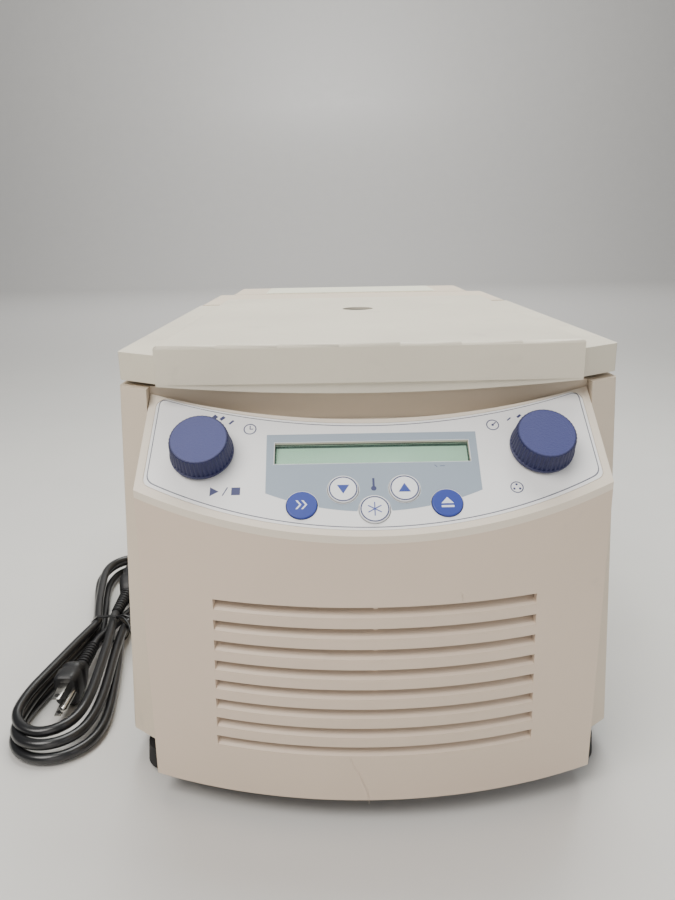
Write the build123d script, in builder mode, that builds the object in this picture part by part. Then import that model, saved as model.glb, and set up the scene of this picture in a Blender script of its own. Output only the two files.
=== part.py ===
"""Refrigerated bench microcentrifuge, built as an assembly of separate pieces.

Frame: +Z up, floor at z = 0, +X to the operator's right, the front of the machine towards -Y.
The origin lies on the floor, under the middle of the machine itself. Millimetres throughout.
"""
import os
from math import asin, cos, degrees, radians, sin, tan

from build123d import *

os.makedirs("parts", exist_ok=True)

# ------------------------------------------------------------------ driving dimensions
HEIGHT = 255.0              # floor to lid top
BASE_HALF = 145.0           # half width of the case at its foot
TOP_HALF = 133.3            # half width of the case under the lid
FRONT_Y = -270.1            # foremost point of the case, at the foot of the control panel
REAR_Y = 270.1              # rearmost point
BASE_Z = 19.0               # underside of the case
DECK_Z = 232.4              # top of the chamber deck, under the lid
WING_Z = 250.0              # top of the lid wings and of the rear deck
WALL = 3.0                  # moulded wall
GAP = 0.5                   # seam between two housing pieces
CORNER_R = 4.0              # rounding of the upright corners

LID_FRONT_Y = -216.7
LID_REAR_Y = 65.0
REAR_DECK_Y = 70.0          # front edge of the raised rear deck
SHOULDER_Y = 180.6          # where the case narrows to the rear cover
CORNER_Y = -198.9           # outer front corner of the side walls
POCKET_Y = -203.5           # wall behind the control panel and the front panel
CHAMBER_Y = -35.8           # axis of the rotor

PANEL_TILT = 40.0           # control panel above the horizontal
PANEL_Y, PANEL_Z = -219.3, 216.3   # middle of the control panel's top edge
FRONT_R = 318.0             # plan radius of the bowed front panel
FRONT_FOOT_Y, FRONT_FOOT_Z = -259.3, 15.1   # middle of the front panel's bottom edge
FRONT_LEAN = 3.96           # the front panel leans out towards its top

HINGE_Y, HINGE_Z = 76.6, 240.0
PIN_R = 3.0
RUN_FIT = 0.06              # radial running clearance

panel = Plane(origin=(0, PANEL_Y, PANEL_Z), x_dir=(1, 0, 0),
              z_dir=(0, -sin(radians(PANEL_TILT)), cos(radians(PANEL_TILT))))
front_axis = Plane(origin=(0, FRONT_FOOT_Y + FRONT_R, FRONT_FOOT_Z), x_dir=(1, 0, 0),
                   z_dir=(0, -sin(radians(FRONT_LEAN)), cos(radians(FRONT_LEAN))))


def front_half(z):
    """Half width of the front panel at height z: it widens a little towards its foot."""
    return 122.6 - 0.0336 * (z - FRONT_FOOT_Z)


# ------------------------------------------------------------------ case sections
def case_section(z, half, shrink=0.0):
    """Plan of the case at height z: straight sides and swept-back front corners."""
    nose_half = half - 25.5
    nose_y = CORNER_Y - 25.5 * tan(radians(37.5))
    with BuildSketch(Plane.XY.offset(z)) as section:
        with BuildLine():
            Polyline((-nose_half, nose_y), (nose_half, nose_y), (half, CORNER_Y), (half, SHOULDER_Y),
                     (-half, SHOULDER_Y), (-half, CORNER_Y), close=True)
        make_face()
        if shrink:
            offset(amount=-shrink, kind=Kind.INTERSECTION)
        else:
            fillet(section.vertices().filter_by(lambda v: abs(v.X) > half - 1), CORNER_R)
    return section.sketch.face()


def pocket_section(z, grow=0.0):
    """Plan of the pocket in the case front that takes the front and control panels."""
    half = front_half(z) + GAP + grow
    with BuildSketch(Plane.XY.offset(z)) as section:
        with Locations((0, (POCKET_Y + grow - 260) / 2)):
            Rectangle(2 * half, POCKET_Y + grow + 260)
    return section.sketch.face()


def rear_section(z, half, shrink=0.0):
    """Plan of the rear cover: a box whose back is slightly bowed."""
    with BuildSketch(Plane.XY.offset(z)) as section:
        with BuildLine():
            Line((-half + shrink, SHOULDER_Y + GAP), (half - shrink, SHOULDER_Y + GAP))
            Line((half - shrink, SHOULDER_Y + GAP), (half - shrink, REAR_Y - 3 - shrink))
            ThreePointArc((half - shrink, REAR_Y - 3 - shrink), (0, REAR_Y - shrink),
                          (-half + shrink, REAR_Y - 3 - shrink))
            Line((-half + shrink, REAR_Y - 3 - shrink), (-half + shrink, SHOULDER_Y + GAP))
        make_face()
    return section.sketch.face()


# ------------------------------------------------------------------ main housing
with BuildPart() as case_hollow:
    loft([case_section(BASE_Z - 1, BASE_HALF, WALL), case_section(DECK_Z - WALL, TOP_HALF + 0.2, WALL)])
    with BuildSketch(Plane.XY.offset(DECK_Z - WALL - 1)):
        with Locations((0, (REAR_DECK_Y + SHOULDER_Y) / 2)):
            Rectangle(2 * (TOP_HALF - WALL), SHOULDER_Y - REAR_DECK_Y - 2 * WALL)
    extrude(amount=WING_Z - DECK_Z + 1)
    loft([pocket_section(BASE_Z - 1, WALL), pocket_section(DECK_Z, WALL)], mode=Mode.SUBTRACT)

ARM_X = 60.0                # lid arms, either side of the middle
ARM_SLOT = 14.0
LATCH_Y = -188.0
RELEASE_YZ = (-150.0, 60.0)
with BuildPart() as main_housing:
    loft([case_section(BASE_Z, BASE_HALF), case_section(DECK_Z, TOP_HALF)])
    with BuildSketch(Plane.XY.offset(DECK_Z)):
        with Locations((0, (REAR_DECK_Y + SHOULDER_Y) / 2)):
            raised = Rectangle(2 * TOP_HALF, SHOULDER_Y - REAR_DECK_Y)
        fillet(raised.vertices().sort_by(Axis.Y)[-2:], CORNER_R)
    extrude(amount=WING_Z - DECK_Z)
    fillet(main_housing.part.edges().group_by(Axis.Z)[-1].filter_by(lambda e: abs(e.center().X) > TOP_HALF - 3), 2.0)
    loft([pocket_section(BASE_Z - 1), pocket_section(DECK_Z + 1)], mode=Mode.SUBTRACT)
    add(case_hollow.part, mode=Mode.SUBTRACT)
    # chamber opening and latch slot in the deck
    with Locations((0, CHAMBER_Y, DECK_Z)):
        Cylinder(96.0, 20, mode=Mode.SUBTRACT)
    with Locations((0, LATCH_Y, DECK_Z)):
        Box(28, 16, 20, mode=Mode.SUBTRACT)
    # air window behind the grille, wiring window behind the control panel
    with Locations((0, POCKET_Y, 95)):
        Box(172, 20, 110, mode=Mode.SUBTRACT)
    with Locations((0, POCKET_Y, 188)):
        Box(150, 20, 36, mode=Mode.SUBTRACT)
    with Locations((0, POCKET_Y + 1.5, BASE_Z)):
        Box(234, 8, 6, mode=Mode.SUBTRACT)
    # opening into the rear compartment
    with Locations((0, SHOULDER_Y, 125.5)):
        Box(216, 20, 215, mode=Mode.SUBTRACT)
    with Locations((0, SHOULDER_Y, BASE_Z)):
        Box(256, 20, 6, mode=Mode.SUBTRACT)
    # slots for the lid arms
    with Locations((-ARM_X, REAR_DECK_Y + 6.5, DECK_Z + 9.6), (ARM_X, REAR_DECK_Y + 6.5, DECK_Z + 9.6)):
        Box(ARM_SLOT, 19, 19, mode=Mode.SUBTRACT)
    with Locations((-76, REAR_DECK_Y + 6, DECK_Z + 7.6), (76, REAR_DECK_Y + 6, DECK_Z + 7.6)):
        Box(48, 14, 14, mode=Mode.SUBTRACT)
    # relief along the front edge of the raised deck, which the rear edge of the lid swings past
    with Locations((0, REAR_DECK_Y, WING_Z)):
        Box(2 * TOP_HALF + 4, 2.4, 1.6, mode=Mode.SUBTRACT)
    # hole and seat for the emergency release
    with BuildSketch(Plane.YZ.offset(130)):
        with Locations(RELEASE_YZ):
            Circle(2.8)
    extrude(amount=20, mode=Mode.SUBTRACT)
    with BuildSketch(Plane.YZ.offset(141.6)):
        with Locations(RELEASE_YZ):
            Circle(7.8)
    extrude(amount=10, mode=Mode.SUBTRACT)
    # side vents beside the compressor
    with BuildSketch(Plane.YZ.offset(-160)):
        with Locations((128, 90)):
            with GridLocations(0, 9, 1, 9):
                SlotOverall(70, 3.6)
    extrude(amount=320, mode=Mode.SUBTRACT)

# ------------------------------------------------------------------ rear cover and its panel
REAR_TOP_HALF, REAR_BASE_HALF = 120.3, 131.0
REAR_WINDOW = (190.0, 150.0)
REAR_WINDOW_Z = 118.0
with BuildPart() as rear_cover:
    loft([rear_section(BASE_Z, REAR_BASE_HALF), rear_section(WING_Z, REAR_TOP_HALF)])
    with BuildPart(mode=Mode.PRIVATE) as rear_hollow:
        loft([rear_section(BASE_Z - 1, REAR_BASE_HALF, WALL), rear_section(WING_Z - WALL, REAR_TOP_HALF, WALL)])
    add(rear_hollow.part, mode=Mode.SUBTRACT)
    with Locations((0, REAR_Y - 3, REAR_WINDOW_Z)):
        Box(REAR_WINDOW[0], 20, REAR_WINDOW[1], mode=Mode.SUBTRACT)
    fillet(rear_cover.part.edges().filter_by(lambda e: abs(e.tangent_at(0.5).Z) > 0.9
                                             and e.center().Y > REAR_Y - 4 and abs(e.center().X) > 110), 5.0)
    fillet(rear_cover.part.edges().group_by(Axis.Z)[-1].filter_by(lambda e: e.center().Y > SHOULDER_Y + 5), 2.5)

LABEL_HALF = 87.0
with BuildPart() as rating_label:
    with BuildSketch(Plane.XY.offset(WING_Z)):
        with Locations((0, SHOULDER_Y + 43)):
            RectangleRounded(2 * LABEL_HALF, 78, 3)
    extrude(amount=0.4)

BACK_Y = 262.0              # outer face of the back panel
SWITCH_X, SWITCH_Z = 62.0, 82.0
INLET_X, INLET_Z = 62.0, 122.0
with BuildPart() as back_panel:
    with BuildSketch(Plane.XZ.offset(-BACK_Y)):
        with Locations((0, REAR_WINDOW_Z)):
            Rectangle(206, 162)
        with Locations((-28, REAR_WINDOW_Z)):
            with GridLocations(0, 9, 1, 14):
                SlotOverall(110, 4, mode=Mode.SUBTRACT)
        with Locations((INLET_X, INLET_Z)):
            Rectangle(28.6, 48.6, mode=Mode.SUBTRACT)
        with Locations((SWITCH_X, SWITCH_Z)):
            Rectangle(30.4, 22.4, mode=Mode.SUBTRACT)
        with Locations((-98, 50), (98, 50), (-98, 186), (98, 186)):
            Circle(1.8, mode=Mode.SUBTRACT)
    extrude(amount=2.0)

# ------------------------------------------------------------------ base plate and feet
# each foot: centre, and how far behind it the fixing neck stands
FEET = [(-120, -203, 15), (120, -203, 15), (-110, 225, 0), (110, 225, 0)]
FOOT_SHOULDER = 14.8
with BuildPart() as base_plate:
    with BuildSketch(Plane.XY.offset(BASE_Z)):
        with BuildLine():
            Polyline((-116, -229), (116, -229), (116, -199), (140.4, -186), (140.4, SHOULDER_Y - 3.6),
                     (127, SHOULDER_Y - 3.6), (127, BACK_Y - 3), (-127, BACK_Y - 3),
                     (-127, SHOULDER_Y - 3.6), (-140.4, SHOULDER_Y - 3.6), (-140.4, -186), (-116, -199),
                     close=True)
        make_face()
        with Locations((0, 130)):
            with GridLocations(12, 20, 9, 4):
                SlotOverall(8, 3, mode=Mode.SUBTRACT)
    extrude(amount=2.0)

with BuildPart() as rubber_feet:
    for x, y, neck in FEET:
        with BuildSketch(Plane.XZ.offset(-y)):
            with BuildLine():
                Polyline((x, 0), (x + 13.5, 0), (x + 16, 2.5), (x + 15, FOOT_SHOULDER), (x, FOOT_SHOULDER),
                         close=True)
            make_face()
        revolve(axis=Axis((x, y, 0), (0, 0, 1)))
        with BuildSketch(Plane.XY.offset(FOOT_SHOULDER - 1)):
            with Locations((x, y + neck)):
                Circle(7)
        extrude(amount=BASE_Z - FOOT_SHOULDER + 1)

# ------------------------------------------------------------------ front panel with its louvred grille
def front_solid(shrink, back_y):
    """The bowed, slightly leaning block in front of the case, made smaller all round by shrink."""
    with BuildPart() as block:
        with BuildSketch(front_axis):
            Circle(FRONT_R - shrink)
            with Locations((0, 0)):
                Rectangle(4 * FRONT_R, 2 * FRONT_R - 140, mode=Mode.SUBTRACT)
            with Locations((0, FRONT_R)):
                Rectangle(4 * FRONT_R, 2 * FRONT_R, mode=Mode.SUBTRACT)
        extrude(amount=-4)
        extrude(block.faces().sort_by(Axis.Z)[-1], amount=240)
        low, high = front_half(FRONT_FOOT_Z) - shrink, front_half(240) - shrink
        with BuildSketch(Plane.XZ):
            with BuildLine():
                Polyline((-low, FRONT_FOOT_Z), (low, FRONT_FOOT_Z), (high, 240), (-high, 240), close=True)
            make_face()
        extrude(amount=320, mode=Mode.INTERSECT)
        with Locations((0, back_y + 200, 130)):
            Box(400, 400, 400, mode=Mode.SUBTRACT)
    return block.part


def around_front(angle):
    """Plane through the front's axis, turned by angle: sketch x is the radius, y runs up the face."""
    radial = -front_axis.y_dir * cos(radians(angle)) + front_axis.x_dir * sin(radians(angle))
    return Plane(origin=front_axis.origin, x_dir=radial, z_dir=radial.cross(front_axis.z_dir))


GRILLE_SLOTS = 8
GRILLE_PITCH = 12.05
GRILLE_OPEN = 6.9           # height of one louvre opening
GRILLE_FOOT = 50.7          # up the front face from its foot to the lowest slot
SLAT_DEPTH = 5.2
PANEL_PLATE = 3.2           # thickness of the control panel
front_rotation = Axis(front_axis.origin, front_axis.z_dir)
with BuildPart() as front_panel:
    add(front_solid(0, POCKET_Y - GAP))
    add(front_solid(WALL, POCKET_Y + 60), mode=Mode.SUBTRACT)
    split(bisect_by=panel.offset(-PANEL_PLATE), keep=Keep.BOTTOM)
    for row in range(GRILLE_SLOTS):
        up = GRILLE_FOOT + row * GRILLE_PITCH
        half_angle = degrees(asin((84.4 - 3.8 * row / (GRILLE_SLOTS - 1)) / FRONT_R))
        with BuildSketch(around_front(-half_angle)):
            with BuildLine():
                Polyline((FRONT_R - 6, up), (FRONT_R + 4, up), (FRONT_R + 4, up + GRILLE_OPEN),
                         (FRONT_R - 6, up + GRILLE_OPEN), close=True)
            make_face()
        revolve(axis=front_rotation, revolution_arc=2 * half_angle, mode=Mode.SUBTRACT)
    for row in range(GRILLE_SLOTS):
        up = GRILLE_FOOT + row * GRILLE_PITCH
        half_angle = degrees(asin((85.8 - 3.8 * row / (GRILLE_SLOTS - 1)) / FRONT_R))
        with BuildSketch(around_front(-half_angle)):
            with BuildLine():
                Polyline((FRONT_R - 0.1, up - 0.8), (FRONT_R - 0.1, up + 1.0), (FRONT_R - 1.2, up + 2.0),
                         (FRONT_R - SLAT_DEPTH, up + 3.9), (FRONT_R - SLAT_DEPTH, up + 2.4),
                         (FRONT_R - 2.6, up - 0.8), close=True)
            make_face()
        revolve(axis=front_rotation, revolution_arc=2 * half_angle)
    with BuildSketch(front_axis.offset(GRILLE_FOOT - 2)):
        with Locations((0, -FRONT_R + 6.2)):
            Rectangle(2.0, 4.0)
    extrude(amount=GRILLE_PITCH * (GRILLE_SLOTS - 1) + GRILLE_OPEN + 4)

# ------------------------------------------------------------------ control panel
# Positions on the control panel are (x, up the slope) from the middle of its top edge.
KNOB_XY = (84.8, -19.6)
BUTTONS = {
    "short_button": (-34.8, -50.3), "temperature_down_button": (-14.85, -41.9),
    "fast_cool_button": (0.0, -53.2), "temperature_up_button": (14.85, -41.9),
    "open_button": (34.8, -50.3),
}
BUTTON_R = 7.4
LCD_XY, LCD_SIZE = (0.0, -20.2), (97.6, 12.8)
SHELF_Z = 213.5
WEB_HALF, WEB_END_Y = 112.2, -204.9   # ends of the web, inside the front panel's side walls
with BuildPart() as control_panel:
    with BuildSketch(panel):
        with BuildLine():
            ThreePointArc((-130, 24.5), (0, 0), (130, 24.5))
            Polyline((130, 24.5), (130, -90), (-130, -90), (-130, 24.5))
        make_face()
    extrude(amount=-PANEL_PLATE)
    # curved web and shelf that close the crescent behind the panel's top edge
    with BuildPart(mode=Mode.PRIVATE) as web:
        with BuildSketch(Plane.XY.offset(SHELF_Z - 3)):
            with BuildLine():
                ThreePointArc((-WEB_HALF, WEB_END_Y), (0, PANEL_Y), (WEB_HALF, WEB_END_Y))
                Line((WEB_HALF, WEB_END_Y), (WEB_HALF, WEB_END_Y - 2.5))
                ThreePointArc((WEB_HALF, WEB_END_Y - 2.5), (0, PANEL_Y - 2.5), (-WEB_HALF, WEB_END_Y - 2.5))
                Line((-WEB_HALF, WEB_END_Y - 2.5), (-WEB_HALF, WEB_END_Y))
            make_face()
        extrude(amount=30)
        split(bisect_by=panel.offset(-0.6), keep=Keep.BOTTOM)
        with BuildSketch(Plane.XY.offset(SHELF_Z - 3)):
            with BuildLine():
                ThreePointArc((-WEB_HALF, WEB_END_Y), (0, PANEL_Y), (WEB_HALF, WEB_END_Y))
                Line((WEB_HALF, WEB_END_Y), (-WEB_HALF, WEB_END_Y))
            make_face()
        extrude(amount=3)
    add(web.part)
    add(front_solid(0, POCKET_Y - GAP), mode=Mode.INTERSECT)
    # shallow seat for the overlay and the openings through the plate
    with BuildSketch(panel) as overlay_seat:
        with BuildLine():
            ThreePointArc((-111.6, 17.5), (0, -2.4), (111.6, 17.5))
            Line((111.6, 17.5), (112.9, -36.8))
            ThreePointArc((112.9, -36.8), (0, -64.3), (-112.9, -36.8))
            Line((-112.9, -36.8), (-111.6, 17.5))
        make_face()
        fillet(overlay_seat.vertices(), 5.0)
    extrude(amount=-0.6, mode=Mode.SUBTRACT)
    with BuildSketch(panel):
        with Locations((-KNOB_XY[0], KNOB_XY[1]), KNOB_XY):
            Circle(3.8)
        with Locations(*BUTTONS.values()):
            Circle(BUTTON_R + 0.35)
        with Locations(LCD_XY):
            Rectangle(*LCD_SIZE)
    extrude(amount=-12, mode=Mode.SUBTRACT)

with BuildPart() as control_overlay:
    with BuildSketch(panel.offset(-0.55)) as overlay_outline:
        with BuildLine():
            ThreePointArc((-111.4, 17.2), (0, -2.6), (111.4, 17.2))
            Line((111.4, 17.2), (112.6, -36.6))
            ThreePointArc((112.6, -36.6), (0, -64.1), (-112.6, -36.6))
            Line((-112.6, -36.6), (-111.4, 17.2))
        make_face()
        fillet(overlay_outline.vertices(), 5.0)
        with Locations((-KNOB_XY[0], KNOB_XY[1]), KNOB_XY):
            Circle(3.8, mode=Mode.SUBTRACT)
        with Locations(*BUTTONS.values()):
            Circle(BUTTON_R + 0.35, mode=Mode.SUBTRACT)
        with Locations(LCD_XY):
            Rectangle(*LCD_SIZE, mode=Mode.SUBTRACT)
    extrude(amount=0.5)

with BuildPart() as lcd_window:
    with BuildSketch(panel.offset(-2.6)):
        with Locations(LCD_XY):
            Rectangle(LCD_SIZE[0] - 0.4, LCD_SIZE[1] - 0.4)
    extrude(amount=1.0)

BOARD_DEPTH = 11.0
ENCODER_R, SHAFT_R = 7.5, 3.14
with BuildPart() as lcd_module:
    with BuildSketch(panel.offset(-BOARD_DEPTH + 0.1)):
        with Locations(LCD_XY):
            Rectangle(LCD_SIZE[0] + 10, LCD_SIZE[1] + 7)
    extrude(amount=7.2)

with BuildPart() as control_board:
    with BuildSketch(panel.offset(-BOARD_DEPTH - 1.6)):
        with Locations((0, -30)):
            Rectangle(190, 40)
        with Locations((0, -46)):
            Rectangle(100, 32)
    extrude(amount=1.6)
    with BuildSketch(panel.offset(-BOARD_DEPTH - 0.1)):
        with Locations(*BUTTONS.values()):
            Rectangle(6, 6)
        with Locations((-KNOB_XY[0], KNOB_XY[1]), KNOB_XY):
            Circle(ENCODER_R)
    extrude(amount=3.5)
    with BuildSketch(panel.offset(-BOARD_DEPTH + 3.3)):
        with Locations(*BUTTONS.values()):
            Circle(1.7)
    extrude(amount=0.5)
    with BuildSketch(panel.offset(-BOARD_DEPTH + 3.3)):
        with Locations((-KNOB_XY[0], KNOB_XY[1]), KNOB_XY):
            Circle(ENCODER_R)
    extrude(amount=3.7)
    with BuildSketch(panel.offset(-BOARD_DEPTH - 4)):
        with Locations((-KNOB_XY[0], KNOB_XY[1]), KNOB_XY):
            Circle(SHAFT_R + RUN_FIT)
    extrude(amount=14, mode=Mode.SUBTRACT)

buttons = {}
for name, (x, y) in BUTTONS.items():
    with BuildPart() as button:
        with BuildSketch(panel.offset(-6.0)):
            with Locations((x, y)):
                Circle(BUTTON_R + 1.4)
        extrude(amount=1.4)
        with BuildSketch(panel.offset(-4.6)):
            with Locations((x, y)):
                Circle(BUTTON_R)
        extrude(amount=5.5)
        fillet(button.faces().sort_by(Axis((0, 0, 0), panel.z_dir))[-1].edges(), 0.5)
    buttons[name] = button

KNOB_BASE_R, KNOB_TOP_R, KNOB_LOW, KNOB_HIGH = 16.0, 14.6, 1.2, 13.4
knobs, shafts, plungers = {}, {}, {}
for side, x in (("time", -KNOB_XY[0]), ("speed", KNOB_XY[0])):
    centre = panel.from_local_coords((x, KNOB_XY[1], 0))
    profile_plane = Plane(origin=centre, x_dir=(1, 0, 0), z_dir=Vector(1, 0, 0).cross(panel.z_dir))
    turning = Axis(centre, panel.z_dir)
    with BuildPart() as knob:
        with BuildSketch(profile_plane):
            with BuildLine():
                Polyline((SHAFT_R + RUN_FIT, KNOB_LOW), (KNOB_BASE_R, KNOB_LOW), (KNOB_BASE_R, KNOB_LOW + 1.4),
                         (KNOB_TOP_R, KNOB_HIGH - 0.9), (KNOB_TOP_R - 0.9, KNOB_HIGH), (0, KNOB_HIGH),
                         (0, KNOB_HIGH - 2.4), (SHAFT_R + RUN_FIT, KNOB_HIGH - 2.4), close=True)
            make_face()
        revolve(axis=turning)
    knobs[side + "_knob"] = knob
    with BuildPart() as shaft:
        with BuildSketch(Plane(origin=centre, x_dir=(1, 0, 0), z_dir=panel.z_dir).offset(-9.4)):
            Circle(SHAFT_R)
        extrude(amount=KNOB_HIGH - 2.5 + 9.4)
    shafts[side + "_encoder_shaft"] = shaft
    with BuildPart() as plunger:
        with BuildSketch(Plane(origin=centre, x_dir=(1, 0, 0), z_dir=panel.z_dir).offset(-11.4)):
            Circle(2.4)
        extrude(amount=1.9)
    plungers[side + "_push_plunger"] = plunger

# ------------------------------------------------------------------ chamber, insulation, evaporator
BOWL_R, BOWL_FLOOR = 92.0, 130.0
BOWL_WALL = 1.5
FOAM_R, FOAM_LOW, FOAM_HIGH = 112.0, 112.0, 226.0
COIL_R, COIL_TUBE = 98.4, 3.0
chamber_line = Axis((0, CHAMBER_Y, 0), (0, 0, 1))


def chamber_turning(points):
    """A body of revolution about the rotor's axis, from (radius, height) points."""
    with BuildPart() as turned:
        with BuildSketch(Plane.XZ.offset(-CHAMBER_Y)):
            with BuildLine():
                Polyline(*points, close=True)
            make_face()
        revolve(axis=chamber_line)
    return turned.part


with BuildPart() as rotor_chamber:
    add(chamber_turning([
        (16, BOWL_FLOOR), (80, BOWL_FLOOR), (BOWL_R, BOWL_FLOOR + 10), (BOWL_R, DECK_Z + 0.3 + BOWL_WALL),
        (101, DECK_Z + 0.3 + BOWL_WALL), (101, DECK_Z + 0.3), (BOWL_R + BOWL_WALL, DECK_Z + 0.3),
        (BOWL_R + BOWL_WALL, BOWL_FLOOR + 9.4), (80.6, BOWL_FLOOR - BOWL_WALL), (16, BOWL_FLOOR - BOWL_WALL)]))

with BuildPart() as chamber_gasket:
    add(chamber_turning([(93.4, 234.4), (97.3, 234.4), (97.3, 235.8), (96.3, 237.4), (94.4, 237.4),
                         (93.4, 235.8)]))

with BuildPart() as chamber_insulation:
    add(chamber_turning([
        (48, FOAM_LOW), (FOAM_R, FOAM_LOW), (FOAM_R, FOAM_HIGH), (102.4, FOAM_HIGH), (102.4, 127.5),
        (48, 127.5)]))

EVAPORATOR_TURNS = 8
with BuildPart() as evaporator_coil:
    for turn in range(EVAPORATOR_TURNS):
        with BuildSketch(Plane.XZ.offset(-CHAMBER_Y)):
            with Locations((COIL_R, 148 + 10 * turn)):
                Circle(COIL_TUBE)
        revolve(axis=chamber_line)
    with BuildSketch(Plane.XY.offset(148)):
        with Locations((0, CHAMBER_Y + COIL_R)):
            Rectangle(5, 4)
    extrude(amount=10 * (EVAPORATOR_TURNS - 1))

# ------------------------------------------------------------------ motor, rotor and rotor lid
SHAFT_FOOT, SHAFT_TIP = 60.0, 176.0
with BuildPart() as motor_housing:
    add(chamber_turning([(6.3, 41), (64, 41), (64, 44), (42, 44), (42, 100), (40, 104), (20, 104), (20, 124),
                         (13, 124), (13, 112), (6.3, 112)]))
    with BuildSketch(Plane.XY.offset(50)):
        with Locations((0, CHAMBER_Y)):
            with PolarLocations(42.5, 24):
                Rectangle(4, 3)
    extrude(amount=46)

with BuildPart() as drive_shaft:
    add(chamber_turning([(0, SHAFT_FOOT), (6.2, SHAFT_FOOT), (6.2, 150), (5.0, SHAFT_TIP), (0, SHAFT_TIP)]))

ROTOR_PLACES = 24
TUBE_MOUTH_R, TUBE_MOUTH_Z, TUBE_DEPTH, TUBE_R = 46.0, 190.0, 36.0, 5.6
with BuildPart() as rotor:
    add(chamber_turning([
        (6.3, 152), (70, 152), (84, 164), (84, 186), (74, 208), (64, 208), (30, 174), (20, 174), (20, 200),
        (6.3, 200)]))
    for place in range(ROTOR_PLACES):
        angle = radians(360 / ROTOR_PLACES * place)
        out = Vector(cos(angle), sin(angle), 0)
        mouth = Vector(0, CHAMBER_Y, TUBE_MOUTH_Z) + out * TUBE_MOUTH_R
        bore_axis = (out * -1 + Vector(0, 0, 1)).normalized()
        with BuildSketch(Plane(origin=mouth + bore_axis * 6, z_dir=bore_axis)):
            Circle(TUBE_R)
        extrude(amount=-TUBE_DEPTH - 6, mode=Mode.SUBTRACT)

with BuildPart() as rotor_lid:
    add(chamber_turning([
        (4.5, 203.5), (56, 203.5), (61, 208.5), (72, 208.5), (71, 210.7), (24, 213.0), (4.5, 213.0)]))

with BuildPart() as rotor_lid_knob:
    add(chamber_turning([(0, 201.0), (4.2, 201.0), (4.2, 213.4), (17, 213.4), (18, 215), (17, 226), (15, 228),
                         (0, 228)]))
    with BuildSketch(Plane.XY.offset(214.5)):
        with Locations((0, CHAMBER_Y)):
            with PolarLocations(19.6, 8):
                Circle(3.2)
    extrude(amount=14, mode=Mode.SUBTRACT)

# ------------------------------------------------------------------ lid
LID_STEP_X = 110.0          # half width of the raised middle of the lid
LID_HALF = 133.4
LID_SKIRT_Z = 235.0         # underside of the lid wings
LID_BOW = 5.0               # the lid's front skirt hangs lower in the middle
PORT_R = 11.25


def lid_outline(inset, z):
    """Plan of the whole lid at height z: bowed front, swept-back wings."""
    with BuildSketch(Plane.XY.offset(z)) as outline:
        with BuildLine():
            ThreePointArc((-LID_STEP_X + inset, LID_FRONT_Y + 1.6 + inset), (0, LID_FRONT_Y + inset),
                          (LID_STEP_X - inset, LID_FRONT_Y + 1.6 + inset))
            Polyline((LID_STEP_X - inset, LID_FRONT_Y + 1.6 + inset), (LID_STEP_X - inset, -212.4 + inset),
                     (LID_HALF - inset, -196.3 + 1.5 * inset), (LID_HALF - inset, LID_REAR_Y - inset),
                     (-LID_HALF + inset, LID_REAR_Y - inset), (-LID_HALF + inset, -196.3 + 1.5 * inset),
                     (-LID_STEP_X + inset, -212.4 + inset), (-LID_STEP_X + inset, LID_FRONT_Y + 1.6 + inset))
        make_face()
    return outline.sketch.face()


with BuildPart() as lid_cover:
    extrude(lid_outline(0, LID_SKIRT_Z), amount=WING_Z - LID_SKIRT_Z)
    fillet(lid_cover.part.edges().filter_by(Axis.Z).filter_by(lambda e: abs(e.center().X) > 130
                                                              and e.center().Y < 0), 3.5)
    with BuildSketch(Plane.XY.offset(WING_Z)):
        with BuildLine():
            ThreePointArc((-LID_STEP_X, LID_FRONT_Y + 1.6), (0, LID_FRONT_Y), (LID_STEP_X, LID_FRONT_Y + 1.6))
            Polyline((LID_STEP_X, LID_FRONT_Y + 1.6), (LID_STEP_X, LID_REAR_Y), (-LID_STEP_X, LID_REAR_Y),
                     (-LID_STEP_X, LID_FRONT_Y + 1.6))
        make_face()
    extrude(amount=HEIGHT - WING_Z)
    # front skirt, lower in the middle
    with BuildSketch(Plane.XZ.offset(-LID_FRONT_Y - 4)):
        with BuildLine():
            ThreePointArc((-LID_STEP_X, 234.2), (0, 234.2 - LID_BOW), (LID_STEP_X, 234.2))
            Polyline((LID_STEP_X, 234.2), (LID_STEP_X, 240), (-LID_STEP_X, 240), (-LID_STEP_X, 234.2))
        make_face()
    extrude(amount=4.0 - 1.7)
    lid_top = lid_cover.part.faces().filter_by(Axis.Z).sort_by(Axis.Z)[-1]
    fillet(lid_top.edges(), 1.8)
    # hollow of the lid, open below
    extrude(lid_outline(WALL, LID_SKIRT_Z - 1), amount=WING_Z - LID_SKIRT_Z + 1 - WALL, mode=Mode.SUBTRACT)
    with Locations((0, (LID_FRONT_Y + LID_REAR_Y) / 2, 249)):
        Box(2 * (LID_STEP_X - WALL), LID_REAR_Y - LID_FRONT_Y - 2 * WALL - 2, 6, mode=Mode.SUBTRACT)
    with Locations((0, CHAMBER_Y, 250)):
        Cylinder(PORT_R, 20, mode=Mode.SUBTRACT)
    with Locations((-ARM_X, LID_REAR_Y, HINGE_Z + 3.5), (ARM_X, LID_REAR_Y, HINGE_Z + 3.5)):
        Box(10.6, 10, 5.6, mode=Mode.SUBTRACT)

LID_PLATE_Z = 237.8
with BuildPart() as lid_inner_plate:
    with BuildSketch(Plane.XY.offset(LID_PLATE_Z)):
        with Locations((0, (LID_FRONT_Y + LID_REAR_Y) / 2 + 1.1)):
            RectangleRounded(2 * LID_STEP_X - 8, LID_REAR_Y - LID_FRONT_Y - 9.2, 8)
        with Locations((0, CHAMBER_Y)):
            Circle(9.5, mode=Mode.SUBTRACT)
    extrude(amount=2.0)

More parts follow.
